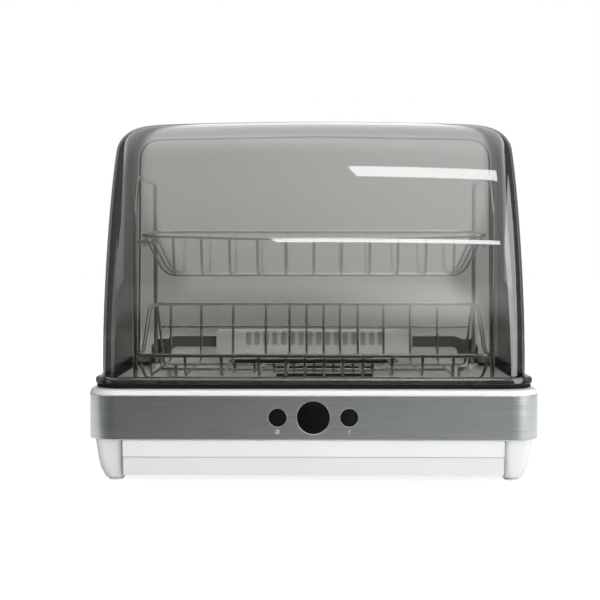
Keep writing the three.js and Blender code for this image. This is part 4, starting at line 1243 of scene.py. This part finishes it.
@dataclass
class AirAndHinges:
    """Pieces that keep the CAD's shape, with rounded edges, and a black pleated sheet behind the air screen
    as painted shade.
    """

    pleats: int = 12
    pleat: float = 0.4
    mat_thickness: float = 0.6
    mat_margin: float = 0.3
    base_nodes: tuple[tuple[str, Finish, float], ...] = (
        ("hinge_bracket_left", Finishes.white, 0.4),
        ("hinge_bracket_right", Finishes.white, 0.4),
        ("hinge_pin_left", Finishes.zinc, 0.3),
        ("hinge_pin_right", Finishes.zinc, 0.3),
        ("rear_duct", Finishes.white, 0.5),
        # The duct trim in dark grey, painted shade for the recess round the duct.
        ("duct_trim", Finishes.dark, 0.3),
        ("air_screen", Finishes.black, 0.2),
        ("outlet_housing", Finishes.white, 0.5),
        ("heater", Finishes.mica, 0.15),
        # The fan scroll gets the darkened zinc, painted shade inside the outlet housing.
        ("fan_scroll", Finishes.scroll, 0.2),
        ("fan_motor", Finishes.zinc, 0.5),
        ("fan_bearing", Finishes.black, 0.4),
    )

    def mat(self) -> Skin:
        """A black pleated sheet just behind the air screen: painted shade that darkens the screen's openings.

        Its face is depth = front + pleat * (1 - cos(2 * pi * pleats * share)) over the height.

        Returns:
            The mat's surface.
        """
        low, high = (np.array(corner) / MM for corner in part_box("air_screen"))
        share = np.linspace(0.0, 1.0, 97)
        height = low[2] + (high[2] - low[2]) * share
        wave = 1.0 - np.cos(2 * math.pi * self.pleats * share)
        depth = high[1] - FRONT_Y + self.pleat + self.pleat * wave
        behind = np.column_stack([depth + self.mat_thickness, height])[::-1]
        section = np.vstack([np.column_stack([depth, height]), behind])
        ends = (low[0] + self.mat_margin, high[0] - self.mat_margin)
        rows = [np.column_stack([np.full(len(section), x), section]) for x in ends]
        return capped(np.stack(rows), [row.mean(axis=0) for row in rows])

    def build(self, frame: dict) -> None:
        """Makes the pieces.

        Args:
            frame: The loaded frame.
        """
        # A black sheet behind the air screen, painted shade for its openings.
        shaped("air_screen_shade_sheet", self.mat(), Finishes.black, "base")
        for node, finish, edge in self.base_nodes:
            softened(frame, node, finish, "base", edge)
        softened(frame, "fan_rotor", Finishes.black, "fan", 0.15)
        for side in SIDES:
            softened(frame, f"hinge_leaf_{side}", Finishes.leaf, "lid_assembly", 0.5)


# Wires


@dataclass(frozen=True)
class Gauge:
    """Wire diameters."""

    rail: float = 4.2
    grid: float = 2.9
    frame: float = 4.8
    fine: float = 2.3


GAUGE = Gauge()


def loop(corners: Sequence[Place], diameter: float, bend: float) -> Skin:
    """A closed rim from the corners of its right half, rear to front, mirrored to the left.

    Args:
        corners: The right half's corners.
        diameter: The wire's diameter.
        bend: How far from a corner its curve starts.

    Returns:
        The rim.
    """
    mirrored = [(-x, depth, z) for x, depth, z in reversed(corners)]
    return tube(bent([*corners, *mirrored], bend, 10, True), diameter, Axis.Z, True, 16)


def strand(corners: Sequence[Place], diameter: float, bend: float, flat: Axis) -> Skin:
    """An open wire through corners."""
    return tube(bent(corners, bend), diameter, flat)


def both(skin: Skin) -> list[Skin]:
    """A surface and its mirror image."""
    return [skin, skin.mirrored()]


def cradle(
    x: float, ends: tuple[float, float], slope: float, floor: float, rails: tuple[float, float], bend: float
) -> Skin:
    """A grid wire from the front rim down to the floor, along it and up to the rear rim.

    Args:
        x: The wire's place.
        ends: The depths of the front and the rear rim.
        slope: How far the wire leans in on its way down.
        floor: The floor's height.
        rails: The heights of the front and the rear rim.
        bend: How far from a corner its curve starts.

    Returns:
        The wire.
    """
    (front, rear), (start, end) = ends, rails
    corners = [(x, front, start), (x, front + slope, floor), (x, rear - slope, floor), (x, rear, end)]
    return strand(corners, GAUGE.grid, bend, Axis.X)


def sling(half: float, depth: float, slope: float, low: float, rail: float, bend: float) -> Skin:
    """A grid wire from the left rim down, across and up to the right rim.

    Args:
        half: Half the rim's width.
        depth: The wire's depth.
        slope: How far the wire leans in on its way down.
        low: The height that it crosses at.
        rail: The rim's height.
        bend: How far from a corner its curve starts.

    Returns:
        The wire.
    """
    places = ((-half, rail), (slope - half, low), (half - slope, low), (half, rail))
    return strand([(x, depth, z) for x, z in places], GAUGE.grid, bend, Axis.DEPTH)


def bead(x: float, depth: float, z: float, radius: float) -> Skin:
    """A small round weld: (x + r cos a, depth + r sin a cos b, z + r sin a sin b).

    Args:
        x: The middle's x.
        depth: The middle's depth.
        z: The middle's height.
        radius: The weld's radius.

    Returns:
        The weld's surface.
    """
    across = np.radians(np.linspace(15.0, 165.0, 7))[:, None]
    around = np.linspace(0.0, 2 * math.pi, 10, endpoint=False)
    wide = radius * np.sin(across)
    parts = x + radius * np.cos(across), depth + wide * np.cos(around), z + wide * np.sin(around)
    points = np.stack(np.broadcast_arrays(*parts), axis=-1)
    return capped(points, [np.array([x + radius, depth, z]), np.array([x - radius, depth, z])])


@dataclass
class SideFrames:
    """Two hoops with a bar each, which carry the upper basket."""

    half: float = 192.0
    front: float = 70.0
    rear: float = 265.0
    top: float = 320.0
    shoulder: float = 284.0
    top_front: float = 98.0
    bar: float = 247.0
    foot: float = 96.2
    bend: float = 8.0
    weld: float = 2.7

    def build(self) -> None:
        """Makes both frames."""
        for side, sign in zip(SIDES, (-1.0, 1.0)):
            x = sign * self.half
            corners = [
                (x, self.front, self.foot),
                (x, self.front, self.shoulder),
                (x, self.top_front, self.top),
                (x, self.rear, self.top),
                (x, self.rear, self.foot),
            ]
            skins = [
                strand(corners, GAUGE.frame, self.bend, Axis.X),
                strand([(x, self.front, self.bar), (x, self.rear, self.bar)], GAUGE.grid, 0.0, Axis.X),
                bead(x, self.front, self.bar, self.weld),
                bead(x, self.rear, self.bar, self.weld),
            ]
            node = f"side_frame_{side}"
            shaped(f"{node}_finished", together(skins), Finishes.wire, "base", [node])


@dataclass
class LowerBasket:
    """The plate rack: a rim that climbs towards the rear, over lengthwise and cross wires."""

    half: float = 186.5
    front: float = 30.0
    rear: float = 250.0
    floor: float = 108.0
    front_rail: float = 129.8
    mid_rail: float = 148.6
    back_rail: float = 176.0
    rise_front: float = 94.0
    rise_rear: float = 161.0
    slope: float = 8.0
    bend: float = 13.0
    corner: float = 16.0
    cross_bend: float = 5.0
    cross_level: float = 104.7
    cross_wires: int = 2
    cross_inset: float = 18.0
    leg_inset: float = 22.0
    basin_floor: float = 78.3
    shares: tuple[float, ...] = (
        -0.92, -0.725, -0.52, -0.31, -0.158, -0.049, 0.06, 0.166, 0.28, 0.444, 0.615, 0.788
    )

    def lengthwise(self) -> list[Skin]:
        """Wires from the front rim along the floor and up the back."""
        ends, rails = (self.front, self.rear), (self.front_rail, self.back_rail)
        return [cradle(s * self.half, ends, self.slope, self.floor, rails, self.bend) for s in self.shares]

    def crosswise(self) -> list[Skin]:
        """Wires under the floor from side rim to side rim, and the straight tie at mid depth.

        Returns:
            The tie and the wires.
        """
        low, middle = self.cross_level, (self.front + self.rear) / 2
        tie = self.floor - 0.6 * GAUGE.grid
        reach = [share * self.half + math.copysign(3.0, share) for share in (self.shares[0], self.shares[-1])]
        skins = [strand([(x, middle, tie) for x in reach], GAUGE.grid, 0.0, Axis.Z)]
        inset = self.cross_inset
        for depth in np.linspace(self.front + inset, self.rear - inset, self.cross_wires):
            risen = min(max((depth - self.rise_front) / (self.rise_rear - self.rise_front), 0.0), 1.0)
            rail = self.front_rail + (self.back_rail - self.front_rail) * risen
            skins.append(sling(self.half, depth, self.slope, low, rail, self.cross_bend))
        return skins

    def build(self) -> None:
        """Makes the basket."""
        rim = loop(
            [(self.half, self.rear, self.back_rail), (self.half, self.rise_rear, self.back_rail),
             (self.half, self.rise_front, self.front_rail), (self.half, self.front, self.front_rail)],
            GAUGE.rail, self.corner,
        )
        lean = self.slope * (self.back_rail - self.mid_rail) / (self.back_rail - self.floor)
        side, mid = self.half - lean, self.rear - lean + 3.0
        behind = self.rear - self.cross_inset
        places = ((-side, behind), (-side, mid), (side, mid), (side, behind))
        corners = [(x, depth, self.mid_rail) for x, depth in places]
        back = strand(corners, GAUGE.grid, self.bend, Axis.Z)
        legs = []
        for depth in (self.front + self.cross_inset, self.rear - self.cross_inset):
            x = self.half - self.leg_inset
            ends = [(x, depth, self.cross_level), (x, depth, self.basin_floor)]
            legs += both(strand(ends, GAUGE.rail, 0.0, Axis.X))
        skins = [rim, *self.lengthwise(), *self.crosswise(), back, *legs]
        nodes = ["lower_basket", "lower_basket_wires"]
        shaped("lower_basket_finished", together(skins), Finishes.wire, "lower_rack", nodes)


@dataclass
class UpperBasket:
    """The cup rack, hung from the side frames' bars by hooks."""

    half: float = 184.5
    front: float = 72.0
    rear: float = 219.0
    floor: float = 215.0
    front_rail: float = 256.0
    back_rail: float = 262.0
    side_slope: float = 22.0
    end_slope: float = 14.0
    bend: float = 14.0
    corner: float = 18.0
    sag: float = 3.0
    wires: int = 11
    pitch: float = 30.3
    cross_wires: int = 3
    cross_inset: float = 10.0
    hook_inset: float = 30.0
    hook_reach: float = 12.0
    hook_drop: float = 7.0
    bar: float = 247.0

    def sag_at(self, x: float) -> float:
        """How far the front rim hangs at a place.

        Args:
            x: The place.

        Returns:
            The sag over the middle third, and less towards the sides.
        """
        if abs(x) < self.half / 3:
            return self.sag
        return self.sag * (1 - abs(x) / self.half) * 1.5

    def rail_at(self, depth: float) -> float:
        """The rim's height at a depth."""
        climb = self.back_rail - self.front_rail
        return self.front_rail + climb * (depth - self.front) / (self.rear - self.front)

    def build(self) -> None:
        """Makes the basket."""
        rim = loop(
            [(self.half, self.rear, self.back_rail), (self.half, self.front, self.front_rail),
             (self.half / 3, self.front, self.front_rail - self.sag)],
            GAUGE.rail, self.corner,
        )
        skins = [rim]
        for i in range(self.wires):
            x = (i - (self.wires - 1) / 2) * self.pitch
            rails = (self.front_rail - self.sag_at(x), self.back_rail)
            skins.append(cradle(x, (self.front, self.rear), self.end_slope, self.floor, rails, self.bend))
        low = self.floor - 0.6 * GAUGE.grid
        inset = self.end_slope + self.cross_inset
        for depth in np.linspace(self.front + inset, self.rear - inset, self.cross_wires):
            skins.append(sling(self.half, depth, self.side_slope, low, self.rail_at(depth), self.bend))
        level = self.bar + GAUGE.grid + 0.3
        for depth in (self.front + self.hook_inset, self.rear - self.hook_inset):
            out = self.half + self.hook_reach
            corners = [(self.half, depth, self.rail_at(depth)), (self.half, depth, level),
                       (out, depth, level), (out, depth, level - self.hook_drop)]
            skins += both(strand(corners, GAUGE.grid, GAUGE.grid, Axis.DEPTH))
        shaped("upper_basket_finished", together(skins), Finishes.wire, "upper_rack", ["upper_basket"])


@dataclass
class CutleryTray:
    """The shallow tray for cutlery, with a thick front bar."""

    half: float = 89.0
    front: float = 46.0
    rear: float = 78.0
    rim: float = 122.5
    floor: float = 111.0
    corner: float = 5.0
    bar: float = 3.7
    wires: int = 9

    def build(self) -> None:
        """Makes the tray."""
        right = [(self.half, depth, self.rim) for depth in (self.rear, self.front)]
        rail = loop(right, GAUGE.fine, self.corner)
        skins = [rail]
        for x in np.linspace(self.corner - self.half, self.half - self.corner, self.wires):
            corners = [(x, self.front, self.rim), (x, self.front + GAUGE.fine, self.floor),
                       (x, self.rear - GAUGE.fine, self.floor), (x, self.rear, self.rim)]
            skins.append(strand(corners, GAUGE.fine, GAUGE.fine, Axis.X))
        ends = [(x, self.front, self.rim) for x in (self.corner - self.half, self.half - 2 * self.corner)]
        shaped("cutlery_tray_finished", together(skins), Finishes.wire, "cutlery_rack", ["cutlery_tray"])
        shaped("cutlery_bar", strand(ends, self.bar, 0.0, Axis.Z), Finishes.black, "cutlery_rack")


# The studio


@dataclass(frozen=True)
class Lamp:
    """A rectangular lamp of a given radiance."""

    name: str
    place: Place
    target: Place
    width: float
    height: float
    radiance: float
    glossy: bool = True
    diffuse: bool = True
    tint: Colour = (1.0, 1.0, 1.0)

    def build(self) -> None:
        """Makes the lamp; energy = radiance * 4 * area."""
        data = bpy.data.lights.new(self.name, "AREA")
        data.shape, data.size, data.size_y = "RECTANGLE", self.width, self.height
        data.energy, data.color = self.radiance * 4 * self.width * self.height, self.tint
        made = bpy.data.objects.new(self.name, data)
        made.location = self.place
        aim = Vector(self.target) - Vector(self.place)
        made.rotation_euler = aim.to_track_quat("-Z", "Y").to_euler()
        made.visible_camera = False
        made.visible_glossy, made.visible_diffuse = self.glossy, self.diffuse
        bpy.context.scene.collection.objects.link(made)


@dataclass
class Studio:
    """Camera, floor, surroundings and lamps."""

    camera: Place = (0.0068, -1.6644, 0.2429)
    pitch: float = 2.04
    yaw: float = 0.784
    lens: float = 87.66
    around: float = 0.36
    floor_tone: float = 0.35
    floor_lift: float = 0.874
    wall_depth: float = -3.0
    ceiling: float = 2.05
    flag_place: float = 1.9
    reach: float = 4.0
    table_rear: float = -0.25
    strip_right: float = 0.64
    floor_near: float = 6000.0
    floor_far: float = 9000.0
    strips: tuple[tuple[str, float, float, float, float, float], ...] = (
        ("strip_high", -0.635, -0.445, 0.075, 0.025, 12.5),
        ("strip_low", -1.89, -1.80, -0.135, 0.02, 13.4),
    )
    lamps: tuple[Lamp, ...] = (
        Lamp("top", (0.0, -0.1, 2.1), (0.0, 0.0, 0.2), 1.6, 1.0, 0.1, glossy=False),
        Lamp("front_fill", (0.5, -2.4, 0.35), (0.0, 0.0, 0.15), 1.8, 0.6, 8.2, glossy=False),
        Lamp("inside", (0.0, -0.04, 0.345), (0.0, 0.1, 0.12), 0.34, 0.1, 6.8, glossy=False),
        Lamp("right_box", (1.61, -0.55, 0.8), (0.0, 0.0, 0.3), 2.0, 1.6, 1.6),
        Lamp(
            "right_sheen", (1.60, -0.54, 0.8), (0.0, 0.0, 0.3), 2.0, 1.6, 2.2,
            diffuse=False, tint=(0.92, 0.93, 1.0),
        ),
        Lamp("left_box", (-1.7, -0.7, 0.6), (0.0, 0.0, 0.15), 0.4, 1.2, 0.8),
        Lamp("rear_fill", (-0.4, 2.4, 0.7), (0.0, 0.0, 0.15), 1.8, 0.8, 4.5, glossy=False),
    )

    def card(
        self, name: str, corners: Sequence[Place], glow: Callable[[Graph], Term], strength: float = 5.0
    ) -> None:
        """Makes a card that only reflections see.

        Args:
            name: The card's name.
            corners: Its four corners, in metres.
            glow: Gives the share of the full brightness at a point.
            strength: The full brightness.
        """
        mesh = bpy.data.meshes.new(name)
        mesh.from_pydata(corners, [], [(0, 1, 2, 3)])
        made = bpy.data.objects.new(name, mesh)
        graph = Graph(name)
        colour = graph.mix(glow(graph), rgba((0.0, 0.0, 0.0)), rgba(PURE))
        lit = graph.node("ShaderNodeEmission", {"Color": colour, "Strength": strength})
        mesh.materials.append(graph.finish(lit))
        made.visible_camera = made.visible_diffuse = made.visible_transmission = made.visible_shadow = False
        bpy.context.scene.collection.objects.link(made)

    @staticmethod
    def past_side(x: Term) -> Term:
        """0 in front of the object and 1 beyond its sides."""
        return (x * x).step(0.17, 0.24)

    @staticmethod
    def to_right(x: Term) -> Term:
        """A rise from left to right across the object."""
        return x.step(-0.5, 0.5)

    def wall(self, graph: Graph) -> Term:
        """The wall's brightness: it grows with height and to the right, with one paler patch at the right.

        Args:
            graph: The card's graph.

        Returns:
            The share of the full brightness.
        """
        x, z = graph.axis("X"), graph.axis("Z")
        across = self.to_right(x) * 0.3
        band = x.step(-0.1, 0.5) * (1.0 - x.step(0.48, 0.54))
        patch = band * z.step(0.7, 1.4) * (1.0 - z.step(1.5, self.ceiling))
        sides = 1.0 - self.past_side(x) * z.step(1.2, self.ceiling) * 0.65
        return (0.02 + z.step(0.9, self.ceiling) * (0.36 + across) + patch * 0.54) * sides

    def overhead(self, graph: Graph) -> Term:
        """The ceiling's brightness: it peaks above the object and fades behind it and beyond its sides.

        Args:
            graph: The card's graph.

        Returns:
            The share of the full brightness.
        """
        x, y = graph.axis("X"), graph.axis("Y")
        along = y.step(self.wall_depth, -0.3) * 0.2 + y.step(-0.3, 0.7) * 0.55 - y.step(0.7, 5.0) * 0.7
        sides = 1.0 - self.past_side(x) * 0.65 + (x * x).step(1.0, 2.4) * 0.5
        return (0.38 + along - y.step(1.9, 4.0) * 0.35 + self.to_right(x) * 0.3) * sides

    def table(self, graph: Graph) -> Term:
        """The table's brightness in front of the object."""
        return 0.025 + self.to_right(graph.axis("X")) * 0.085

    def flag(self, graph: Graph) -> Term:
        """A dark flag's brightness: streaks that fade towards the front and the ground.

        Args:
            graph: The card's graph.

        Returns:
            The share of the full brightness.
        """
        streaks = graph.noise(1.0, 2.0, (2.0, 9.0, 0.3)).step(0.4, 0.7)
        height = 0.12 + graph.axis("Z").step(0.12, 0.42) * 0.88
        return (0.6 + streaks * 0.4) * (0.05 + graph.axis("Y").step(1.2, 3.5) * 0.15) * height

    def strip(self, graph: Graph) -> Term:
        """A light strip's brightness, nearly even."""
        return 0.92 + graph.noise(3.0) * 0.08

    def cards(self) -> None:
        """Two light strips, a graded wall, ceiling and table, and a dark flag at each side."""
        level, right = self.ceiling - 0.05, self.strip_right
        for name, near, far, left, slope, strength in self.strips:
            ends = [(left + slope, near), (right, near), (right, far), (left, far)]
            self.card(name, [(x, y, level) for x, y in ends], self.strip, strength)
        wide, front, top, low = self.reach, self.wall_depth, self.ceiling, -0.5
        corners = [(-wide, front, low), (wide, front, low), (wide, front, top), (-wide, front, top)]
        self.card("wall_card", corners, self.wall)
        level_cards = (
            ("ceiling_card", wide, top, self.overhead),
            ("table_card", self.table_rear, 0.001, self.table),
        )
        for name, rear, z, glow in level_cards:
            self.card(name, [(-wide, front, z), (wide, front, z), (wide, rear, z), (-wide, rear, z)], glow)
        for side, x in zip(SIDES, (-self.flag_place, self.flag_place)):
            corners = [(x, -1.0, low), (x * 0.5, wide, low), (x * 0.5, wide, top), (x, -1.0, top)]
            self.card(f"flag_{side}", corners, self.flag)

    def floor(self) -> None:
        """A wide pale floor, lifted to white for the camera; the object's shadow still shows on it."""
        near, far = self.floor_near, self.floor_far
        corners = [[-near, -near, 0.0], [near, -near, 0.0], [near, far, 0.0], [-near, far, 0.0]]
        made = raise_object("floor", Skin(np.array(corners), np.array([[0, 1, 2, 3]])))
        graph = Graph("floor_paper")
        low, high = (rgba((self.floor_tone + d,) * 3) for d in (-0.01, 0.01))
        tone = graph.mix(graph.noise(3.0), low, high)
        paper = graph.principled(Base_Color=tone, Roughness=0.9, Specular_IOR_Level=0.1)
        lift = graph.node("ShaderNodeEmission", {"Color": rgba(PURE), "Strength": self.floor_lift})
        lifted = graph.node("ShaderNodeAddShader", {0: paper, 1: lift})
        mixed = graph.node("ShaderNodeMixShader", {0: self.shown(graph), 1: paper, 2: lifted})
        made.data.materials.append(graph.finish(mixed))

    def shown(self, graph: Graph) -> Term:
        """Whether a ray comes from the camera, a reflection or clear plastic.

        Args:
            graph: The graph to make it in.

        Returns:
            1 for such a ray and 0 for others.
        """
        kinds = ("Camera", "Glossy", "Transmission")
        rays = [graph.node("ShaderNodeLightPath", output=f"Is {kind} Ray") for kind in kinds]
        return (rays[0] + rays[1] + rays[2]).clamp()

    def surroundings(self) -> None:
        """White to the camera and in reflections, a softer white as light."""
        world = bpy.data.worlds.new("surroundings")
        bpy.context.scene.world = world
        world.use_nodes = True
        graph = Graph("surroundings", world)
        levels = (self.around, 1.0)
        light, background = (
            graph.node("ShaderNodeBackground", {"Color": rgba(PURE), "Strength": level}) for level in levels
        )
        graph.finish(graph.node("ShaderNodeMixShader", {0: self.shown(graph), 1: light, 2: background}))

    def build(self) -> None:
        """Makes the studio."""
        self.floor()
        self.surroundings()
        self.cards()
        for lamp in self.lamps:
            lamp.build()
        data = bpy.data.cameras.new("camera")
        data.lens, data.sensor_width, data.clip_start, data.clip_end = self.lens, 36.0, 0.05, 60.0
        camera = bpy.data.objects.new("camera", data)
        camera.location = self.camera
        camera.rotation_euler = Euler((math.radians(90.0 - self.pitch), 0.0, math.radians(self.yaw)))
        bpy.context.scene.collection.objects.link(camera)
        bpy.context.scene.camera = camera
        bpy.context.scene.view_settings.view_transform = "Standard"


def main() -> None:
    """Builds the looks in order."""
    logging.basicConfig(level=logging.INFO, format="%(name)s %(message)s")
    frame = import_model()
    Base().build(frame)
    Controls().build(frame)
    Dome().build()
    AirAndHinges().build(frame)
    SideFrames().build()
    LowerBasket().build()
    UpperBasket().build()
    CutleryTray().build()
    Studio().build()
    bpy.context.view_layer.update()


if __name__ == "__main__":
    main()
